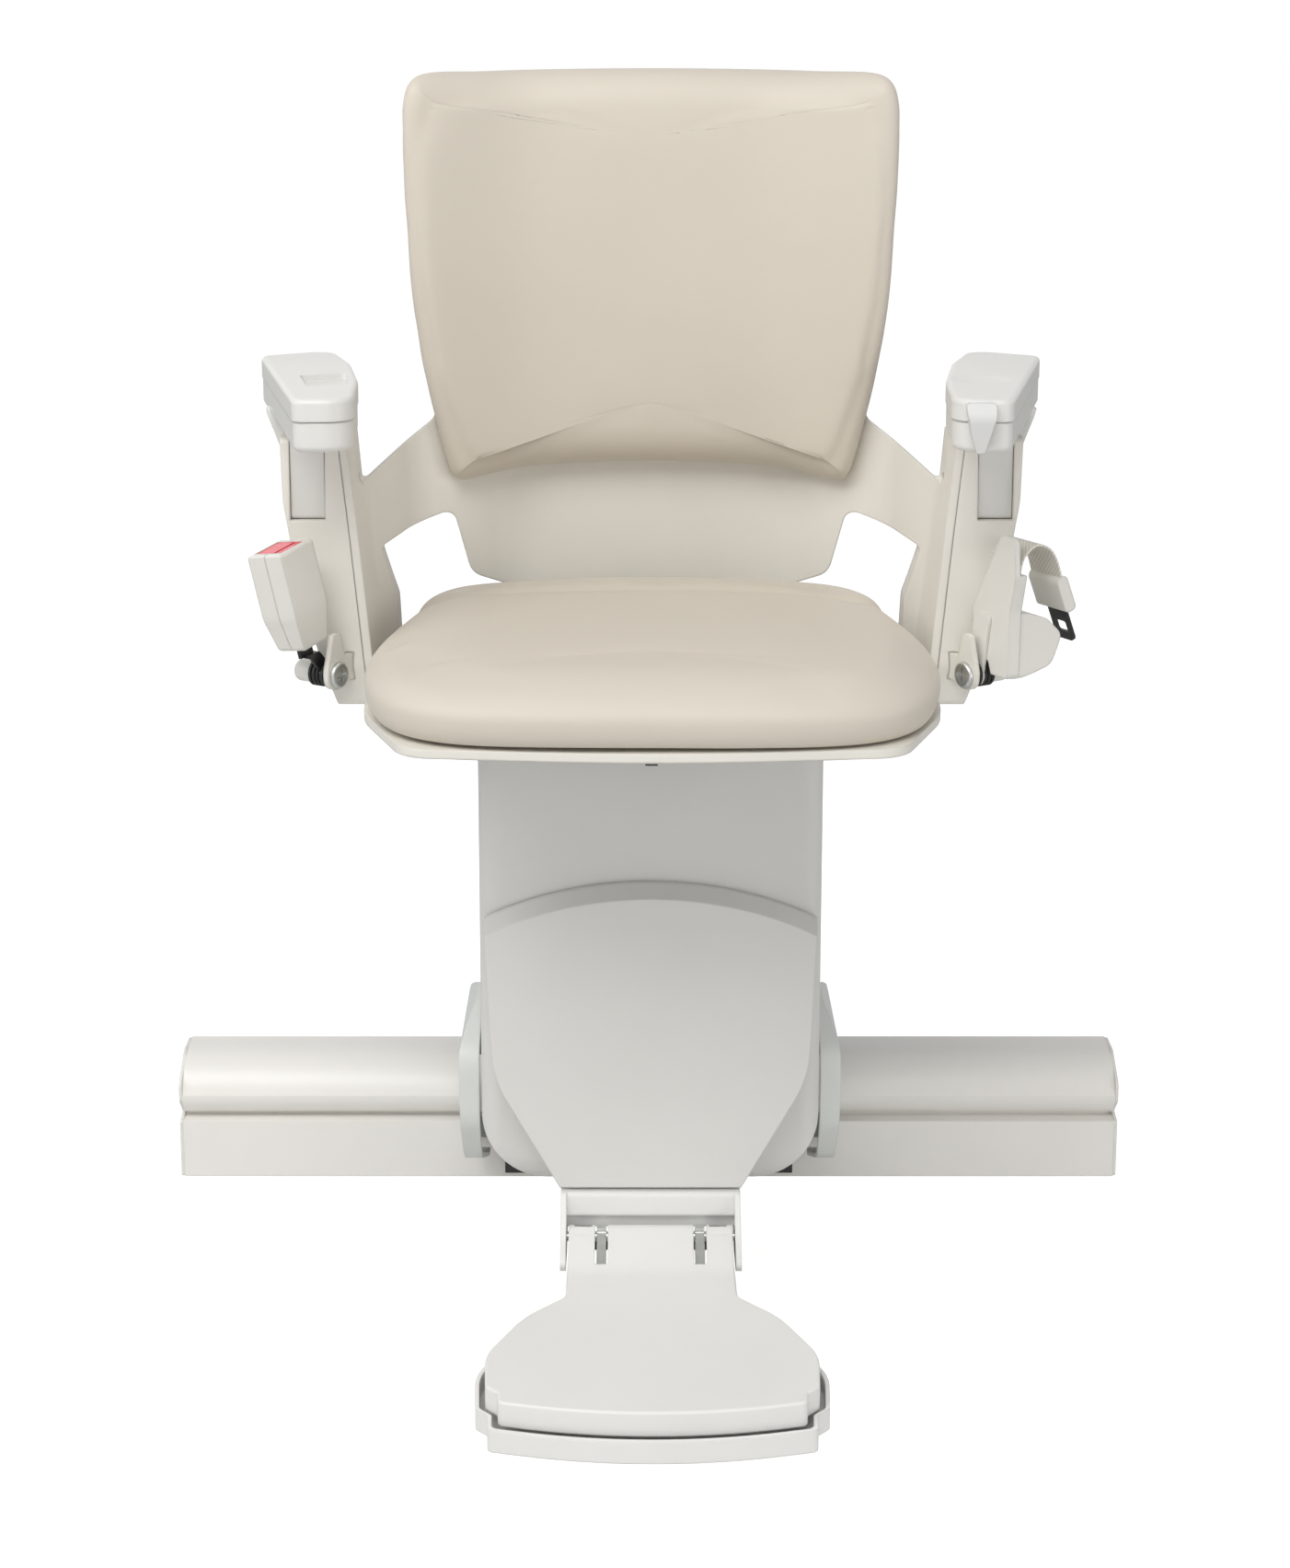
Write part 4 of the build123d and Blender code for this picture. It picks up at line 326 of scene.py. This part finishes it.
def finish_pad(pad, material, body, node):
    """Smooth shading, one subdivision and the calls that seat a padded piece."""
    pick(pad)
    relax = pad.modifiers.new("relax", "SMOOTH")
    relax.factor = 0.5
    relax.iterations = 4
    bpy.ops.object.modifier_apply(modifier=relax.name)
    finer = pad.modifiers.new("finer", "SUBSURF")
    finer.levels = finer.render_levels = 1
    bpy.ops.object.modifier_apply(modifier=finer.name)
    bpy.ops.object.shade_smooth()
    pad.data.materials.append(material)
    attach(pad, body)
    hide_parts(node)


coated_cloth = upholstery("coated_cloth", (0.655, 0.600, 0.520), (0.630, 0.575, 0.495))

# The right half of the cushion's plan from the front edge to the back, with how far the top
# rolls over there, both in metres.
half_plan = [
    (0.000, -0.5930, 0.050), (0.060, -0.5925, 0.050), (0.115, -0.5885, 0.048),
    (0.158, -0.5790, 0.044), (0.189, -0.5600, 0.042), (0.209, -0.5330, 0.042),
    (0.221, -0.5000, 0.042), (0.2275, -0.4620, 0.040), (0.229, -0.4250, 0.038),
    (0.226, -0.3880, 0.036), (0.220, -0.3550, 0.034), (0.2125, -0.3230, 0.031),
    (0.2065, -0.3000, 0.028), (0.2040, -0.2830, 0.027), (0.2035, -0.2640, 0.027),
    (0.200, -0.2450, 0.028), (0.191, -0.2230, 0.030), (0.175, -0.2060, 0.030),
    (0.150, -0.1940, 0.030), (0.110, -0.1860, 0.030), (0.055, -0.1820, 0.030),
    (0.000, -0.1812, 0.030)]


def whole(half):
    """The closed outline whose right half is given, with its left half mirrored."""
    return half + [(-across, along, roll) for across, along, roll in half[-2:0:-1]]


OUTLINE_STEPS = 6
MERGE = 0.0002


def round_trip(points):
    """A smooth closed curve through the points, in equal steps between neighbours."""
    curve = []
    count = len(points)
    for k in range(count):
        a, b, c, d = (Vector(points[(k + n) % count]) for n in (-1, 0, 1, 2))
        for step in range(OUTLINE_STEPS):
            t = step / OUTLINE_STEPS
            curve.append(0.5 * (2 * b + (c - a) * t + (2 * a - 5 * b + 4 * c - d) * t * t
                                + (3 * b - a - 3 * c + d) * t ** 3))
    return curve


def inward_normals(edge):
    """For each point of a closed outline, the direction that points inside it."""
    normals = []
    for k in range(len(edge)):
        along = (edge[(k + 2) % len(edge)] - edge[k - 2]).to_2d().normalized()
        normals.append(Vector((-along.y, along.x)))
    return normals


def cover(name, rings, closed_below=False):
    """One closed cover through rings of points, all with the same number of points."""
    bm = bmesh.new()
    rings = [[bm.verts.new(spot) for spot in ring] for ring in rings]
    count = len(rings[0])
    for low, high in zip(rings, rings[1:]):
        for n in range(count):
            bm.faces.new((low[n], low[(n + 1) % count], high[(n + 1) % count], high[n]))
    if closed_below:
        bm.faces.new(list(reversed(rings[0])))
    bmesh.ops.remove_doubles(bm, verts=bm.verts, dist=MERGE)
    bmesh.ops.recalc_face_normals(bm, faces=bm.faces)
    mesh = bpy.data.meshes.new(name)
    bm.to_mesh(mesh)
    bm.free()
    obj = bpy.data.objects.new(name, mesh)
    scene.collection.objects.link(obj)
    return obj


# Heights of the top: its crown, the fall towards the front and rear edges, and the crease
# between the two lobes, which bends and deepens towards the sides.
SEAT_CROWN = 0.5535
CROWN_FALL = 0.0075
FRONT_FALL = 0.010
REAR_FALL = 0.004
CREASE_Y = -0.287
CREASE_BEND = 0.006
CREASE_WIDTH = 0.011
CREASE_DEPTH = 0.0035
CREASE_DEEPER = 0.0055


def seat_top(x, y):
    """Height of the cushion's crowned top, with its crease and the drop to the front and back."""
    crown = SEAT_CROWN - CROWN_FALL * (x / 0.22) ** 2
    front = min(1.0, max(0.0, (-0.46 - y) / 0.13))
    rear = min(1.0, max(0.0, (y + 0.29) / 0.11))
    crease_y = CREASE_Y + CREASE_BEND * (x / 0.2) ** 2
    depth = CREASE_DEPTH + CREASE_DEEPER * min(1.0, abs(x) / 0.2) ** 2
    crease = depth * math.exp(-((y - crease_y) / CREASE_WIDTH) ** 2)
    return crown - FRONT_FALL * front ** 2 - REAR_FALL * rear ** 1.5 - crease


# The underside lies flat, the side rounds out by the bulge up to the waist, and the top
# rolls over from there and closes on a spine along the middle.
SEAT_UNDER = 0.4973
SEAT_WAIST = 0.519
SIDE_BULGE = 0.011
UNDER_WIDTH = 0.030
UNDER_STEPS, SIDE_STEPS, ROLL_STEPS, TOP_STEPS = 4, 7, 12, 14
SPINE_FRONT, SPINE_REAR = -0.50, -0.27
edge = round_trip(whole(half_plan))
count = len(edge)
normals = inward_normals(edge)
rings = []
for k in range(UNDER_STEPS, -1, -1):
    tuck = UNDER_WIDTH * k / UNDER_STEPS
    rings.append([(*(edge[n].to_2d() + normals[n] * (SIDE_BULGE + tuck)), SEAT_UNDER)
                  for n in range(count)])
for k in range(1, SIDE_STEPS + 1):
    turn = math.pi / 2 * k / SIDE_STEPS
    height = SEAT_WAIST
    if k < SIDE_STEPS:
        height = SEAT_WAIST - (SEAT_WAIST - SEAT_UNDER) * math.cos(turn) ** 0.9
    rings.append([(*(edge[n].to_2d() + normals[n] * SIDE_BULGE * (1 - math.sin(turn))), height)
                  for n in range(count)])
for k in range(1, ROLL_STEPS + 1):
    turn = math.pi / 2 * k / ROLL_STEPS
    inner = [edge[n].to_2d() + normals[n] * edge[n].z * (1 - math.cos(turn))
             for n in range(count)]
    rings.append([(*spot, SEAT_WAIST + (seat_top(*spot) - SEAT_WAIST) * math.sin(turn))
                  for spot in inner])
for k in range(1, TOP_STEPS + 1):
    row = []
    for spot in inner:
        spine = Vector((0, min(SPINE_REAR, max(SPINE_FRONT, spot.y))))
        place = spot.lerp(spine, k / TOP_STEPS)
        row.append((*place, seat_top(*place)))
    rings.append(row)
seat = cover("seat_cushion_cover", rings, closed_below=True)
swell(seat, cap=0.003, pressure=2.5)
for vertex in seat.data.vertices:
    vertex.co.z = max(vertex.co.z, SEAT_UNDER)
finish_pad(seat, coated_cloth, "seat", "seat_cushion")

# ---- Back shell and uprights ----------------------------------------------------------
# One wrap-around moulding carries the back: bands sweep from behind the cushion round to
# the inner faces of the uprights, whose outer covers clip on along a fine seam.
dress(shell_plastic, "back_shell", "upright_covers", "anchor_lugs")

# ---- Back cushion ---------------------------------------------------------------------
# Slim moulded foam under the same coated cloth, wrapped round the shell's edge. Its bottom
# edge is cut in a shallow arch, and its front closes on a spine up the middle.
BACK_INSET = 0.007
RIM_BEHIND = 0.0015
RIM_FORWARD = 0.22
SPINE_LOW, SPINE_HIGH = 0.70, 0.93
REAR_STEPS, TURN_STEPS, FRONT_ROLL, FRONT_STEPS = 8, 5, 12, 16

# The right half of its front view from the bottom edge to the top, with how far the front
# rolls over there, in metres. Its section is the same at every height.
half_face = [
    (0.000, 0.6415, 0.034), (0.060, 0.6400, 0.034), (0.110, 0.6365, 0.033),
    (0.146, 0.6315, 0.031), (0.1635, 0.6300, 0.029), (0.1735, 0.6370, 0.028),
    (0.1800, 0.6580, 0.028), (0.1870, 0.6860, 0.028), (0.1945, 0.7200, 0.028),
    (0.2005, 0.7560, 0.028), (0.2055, 0.8000, 0.028), (0.2085, 0.8500, 0.028),
    (0.2100, 0.9000, 0.028), (0.2100, 0.9370, 0.028), (0.2085, 0.9600, 0.029),
    (0.2030, 0.9755, 0.030), (0.1900, 0.9830, 0.030), (0.1600, 0.9850, 0.030),
    (0.1100, 0.9868, 0.031), (0.0550, 0.9880, 0.031), (0.000, 0.9884, 0.031)]


def soft_step(distance, width):
    """Zero before a bend and the distance past it, rounded over the width."""
    return width * math.log1p(math.exp(min(60.0, distance / width)))


def rear_depth(x):
    """Y of the cushion's back, which lies on the shell: flat, then bending forward at the sides."""
    return -0.1528 - 0.667 * soft_step(abs(x) - 0.1215, 0.004)


def front_depth(x, z):
    """Y of the cushion's front: slightly crowned, and bending forward at the sides."""
    crown = 0.0035 * (1 - ((z - 0.81) / 0.19) ** 2)
    return -0.1885 - crown - 0.455 * soft_step(abs(x) - 0.112, 0.013)


def to_spine(spot, share):
    """A point of the outline, drawn by a share of the way to the spine."""
    return spot.lerp(Vector((0, min(SPINE_HIGH, max(SPINE_LOW, spot.y)))), share)


def upright_ring(spots, depths):
    return [(spot.x, depth, spot.y) for spot, depth in zip(spots, depths)]


edge = round_trip(whole(half_face))
count = len(edge)
inward = inward_normals(edge)
rim = []
for point in edge:
    rear = rear_depth(point.x)
    rim.append(rear - RIM_BEHIND - RIM_FORWARD * max(0.0, rear - front_depth(point.x, point.y)))
rings = []
behind = [edge[n].to_2d() + inward[n] * BACK_INSET for n in range(count)]
for k in range(REAR_STEPS, 0, -1):
    spots = [to_spine(spot, k / REAR_STEPS) for spot in behind]
    rings.append(upright_ring(spots, [rear_depth(spot.x) for spot in spots]))
for k in range(TURN_STEPS):
    turn = math.pi / 2 * k / TURN_STEPS
    spots = [edge[n].to_2d() + inward[n] * BACK_INSET * (1 - math.sin(turn))
             for n in range(count)]
    rings.append(upright_ring(spots, [rim[n] + (rear_depth(spots[n].x) - rim[n]) * math.cos(turn)
                                      for n in range(count)]))
for k in range(FRONT_ROLL + 1):
    turn = math.pi / 2 * k / FRONT_ROLL
    spots = [edge[n].to_2d() + inward[n] * edge[n].z * (1 - math.cos(turn))
             for n in range(count)]
    rings.append(upright_ring(spots, [
        rim[n] + (front_depth(spots[n].x, spots[n].y) - rim[n]) * math.sin(turn)
        for n in range(count)]))
inner = spots
for k in range(1, FRONT_STEPS + 1):
    spots = [to_spine(spot, k / FRONT_STEPS) for spot in inner]
    rings.append(upright_ring(spots, [front_depth(spot.x, spot.y) for spot in spots]))
back = cover("back_cushion_cover", rings)
swell(back, cap=0.0025, pressure=2.0)
for vertex in back.data.vertices:
    vertex.co.y = min(vertex.co.y, rear_depth(vertex.co.x))
finish_pad(back, coated_cloth, "seat_base", "back_cushion")

# ---- Armrests -------------------------------------------------------------------------
# Hollow armrests moulded in cool light grey-white: a flat-topped cover over a lower
# casing, on a tongue that folds in the upright's slot.
arm_plastic = surface("armrest_plastic", (0.76, 0.755, 0.73), 0.38, 1600, 0.00004, arris=0.0022)
for side in ("left", "right"):
    dress(arm_plastic, "armrest_cover_" + side, "armrest_casing_" + side, "armrest_leg_" + side)
dress(surface("paddle_plastic", (0.70, 0.70, 0.69), 0.34, 1600, 0.00003, arris=0.0018), "joystick")

# ---- Lap belt: buckle side ------------------------------------------------------------
# The buckle stands on a flat steel stalk that turns on a bolt through the upright's lug.
# Two moulded halves meet on a seam; the red button in the top frees the tongue.
buckle_plastic = surface("buckle_plastic", (0.76, 0.745, 0.70), 0.36, 1500, 0.00004, arris=0.0025)
dress(buckle_plastic, "buckle_half_inner", "buckle_half_outer", "anchor_caps", "tongue_cover")
dress(surface("button_red", (0.80, 0.005, 0.035), 0.28, 1500, 0.00002, arris=0.0012, coat=0.4),
      "buckle_button")
dress(surface("blackened_steel", (0.035, 0.035, 0.037), 0.30, 500, 0.00003, arris=0.0005,
              metallic=0.6), "buckle_stalk", "tongue_blade")
dress(surface("ribbed_rubber", (0.018, 0.018, 0.018), 0.62, 1100, 0.00006, arris=0.0004),
      "anchor_washers")
dress(zinc, "anchor_bolts")

# ---- Lap belt: reel side --------------------------------------------------------------
# The inertia reel in its D-shaped housing stands on an angular bracket. Woven webbing
# rises out of it, loops over the housing and ends in the tongue.
dress(surface("reel_plastic", (0.77, 0.755, 0.71), 0.40, 1500, 0.00004, arris=0.0025),
      "reel_housing", "reel_bracket")


def bands(tree, strip, direction, scale, distortion):
    wave = tree.nodes.new("ShaderNodeTexWave")
    wave.bands_direction = direction
    wave.inputs["Scale"].default_value = scale
    wave.inputs["Distortion"].default_value = distortion
    tree.links.new(strip.outputs["UV"], wave.inputs["Vector"])
    return wave


def woven(name, colour, shade):
    """Polyester webbing: ribs along it and a diagonal twill from its UV in metres, with painted
    shade in their valleys.
    """
    material, tree, shader = blank_material(name)
    shader.inputs["Roughness"].default_value = 0.62
    shader.inputs["Sheen Weight"].default_value = 0.25
    shader.inputs["Specular IOR Level"].default_value = 0.35
    strip = tree.nodes.new("ShaderNodeUVMap")
    strip.uv_map = "strip"
    ribs = bands(tree, strip, "X", 190, 0.4)
    twill = bands(tree, strip, "DIAGONAL", 160, 0.8)
    both = tree.nodes.new("ShaderNodeMath")
    both.operation = "ADD"
    tree.links.new(ribs.outputs["Fac"], both.inputs[0])
    tree.links.new(twill.outputs["Fac"], both.inputs[1])
    half = tree.nodes.new("ShaderNodeMath")
    half.operation = "MULTIPLY"
    half.inputs[1].default_value = 0.5
    tree.links.new(both.outputs[0], half.inputs[0])
    # The darker colour in the weave's low parts follows the relief: painted shade in its grooves.
    two_tone(tree, half.outputs[0], shader, shade, colour, 0.1, 0.9)
    relief(tree, half.outputs[0], shader, 0.6, 0.0003)
    return material


# Places near the reel are given as (outward, forward, up) from the right anchor bolt, whose
# axis is turned 30 degrees from the seat's side.
ANCHOR = Vector((0.262, -0.372, 0.503))
OUTWARD = Vector((0.8660254, 0.5, 0))
FORWARD = Vector((0.5, -0.8660254, 0))
UP = Vector((0, 0, 1))
EDGE_SHARE = 0.3
EDGE_ANGLE = 50


def ribbon(name, line, near, far, thick, columns=10):
    """Flat webbing along a line of (outward, up) points, between two depths from the bolt."""
    mesh = bpy.data.meshes.new(name)
    obj = bpy.data.objects.new(name, mesh)
    scene.collection.objects.link(obj)
    bm = bmesh.new()
    strip = bm.loops.layers.uv.new("strip")
    run, length = [0.0], 0.0
    for a, b in zip(line, line[1:]):
        length += math.dist(a, b)
        run.append(length)
    grid = []
    for k, (out_by, up_by) in enumerate(line):
        row = []
        for c in range(columns + 1):
            t = c / columns
            depth = near + (far - near) * t
            row.append(bm.verts.new(ANCHOR + OUTWARD * out_by + FORWARD * depth + UP * up_by))
        grid.append(row)
    for k in range(len(line) - 1):
        for c in range(columns):
            face = bm.faces.new((grid[k][c], grid[k][c + 1], grid[k + 1][c + 1], grid[k + 1][c]))
            face.smooth = True
            for loop, (kk, cc) in zip(face.loops, ((k, c), (k, c + 1), (k + 1, c + 1), (k + 1, c))):
                loop[strip].uv = ((far - near) * cc / columns, run[kk])
    bm.to_mesh(mesh)
    bm.free()
    pick(obj)
    body = obj.modifiers.new("body", "SOLIDIFY")
    body.thickness = thick
    body.offset = 0
    bpy.ops.object.modifier_apply(modifier=body.name)
    soft_edge = obj.modifiers.new("soft_edge", "BEVEL")
    soft_edge.width = thick * EDGE_SHARE
    soft_edge.segments = 2
    soft_edge.limit_method = "ANGLE"
    soft_edge.angle_limit = math.radians(EDGE_ANGLE)
    bpy.ops.object.modifier_apply(modifier=soft_edge.name)
    return obj, length


# Its second, darker colour is painted shade for the grooves of the weave.
webbing = woven("belt_webbing", (0.80, 0.77, 0.71), (0.55, 0.52, 0.46))
# The strap's loop over the reel, as a smooth curve whose two ends have slopes of their own.
loop_points = [(0.0125, 0.0890), (0.0168, 0.1030), (0.0300, 0.1110),
               (0.0452, 0.1035), (0.0548, 0.0815)]
SLOPE_PART = 6
CURVE_POINTS = 9
slopes = [(b[0] - a[0], b[1] - a[1]) for a, b in
          zip([loop_points[0]] + loop_points[:-1], loop_points[1:] + [loop_points[-1]])]
slopes[0] = (0.0, 0.024)
slopes[-1] = (0.010, -0.040)
line = []
for k in range(len(loop_points) - 1):
    a, b = Vector(loop_points[k]), Vector(loop_points[k + 1])
    da, db = Vector(slopes[k]) / SLOPE_PART, Vector(slopes[k + 1]) / SLOPE_PART
    if 0 < k:
        line.pop()
    curve = geometry.interpolate_bezier(a.to_3d(), (a + da).to_3d(), (b - db).to_3d(),
                                        b.to_3d(), CURVE_POINTS)
    line += [tuple(p[:2]) for p in curve]
strap, strap_length = ribbon("belt_strap_webbing", line, 0.003, 0.042, 0.0017)
strap.data.materials.append(webbing)
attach(strap, "belt_reel")
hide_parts("belt_strap")

# ---- Belt spool -----------------------------------------------------------------------
# The rest of the webbing, wound in seven turns on its spool inside the drum. Nothing of it
# shows while the housing is closed.
COIL_TURNS = 7
COIL_STEPS = 24
COIL_CORE = 0.0035
COIL_BUILD = 0.0118
COIL_CENTRE = 0.034
turns = []
for k in range(COIL_TURNS * COIL_STEPS + 1):
    angle = math.tau * k / COIL_STEPS
    radius = COIL_CORE + COIL_BUILD * k / (COIL_TURNS * COIL_STEPS)
    turns.append((COIL_CENTRE + radius * math.cos(angle), COIL_CENTRE + radius * math.sin(angle)))
coil, coil_length = ribbon("belt_coil_webbing", turns, -0.0005, 0.0345, 0.0014, columns=2)
coil.data.materials.append(webbing)
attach(coil, "belt_spool")
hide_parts("belt_spool")

# ---- Footrest -------------------------------------------------------------------------
# Near-white moulded plate on two plated steel arms, hinged to the block at the foot of
# the shield. The safety pan below it lifts a few millimetres and stops the drive.
foot_plastic = surface("footrest_plastic", (0.87, 0.865, 0.845), 0.42, 1500, 0.00005, arris=0.002)
dress(foot_plastic, "hinge_block", "footplate", "foot_pan")
dress(surface("bright_zinc", (0.78, 0.80, 0.78), 0.36, 260, 0.00003, arris=0.0006,
              metallic=1.0), "footrest_arms")
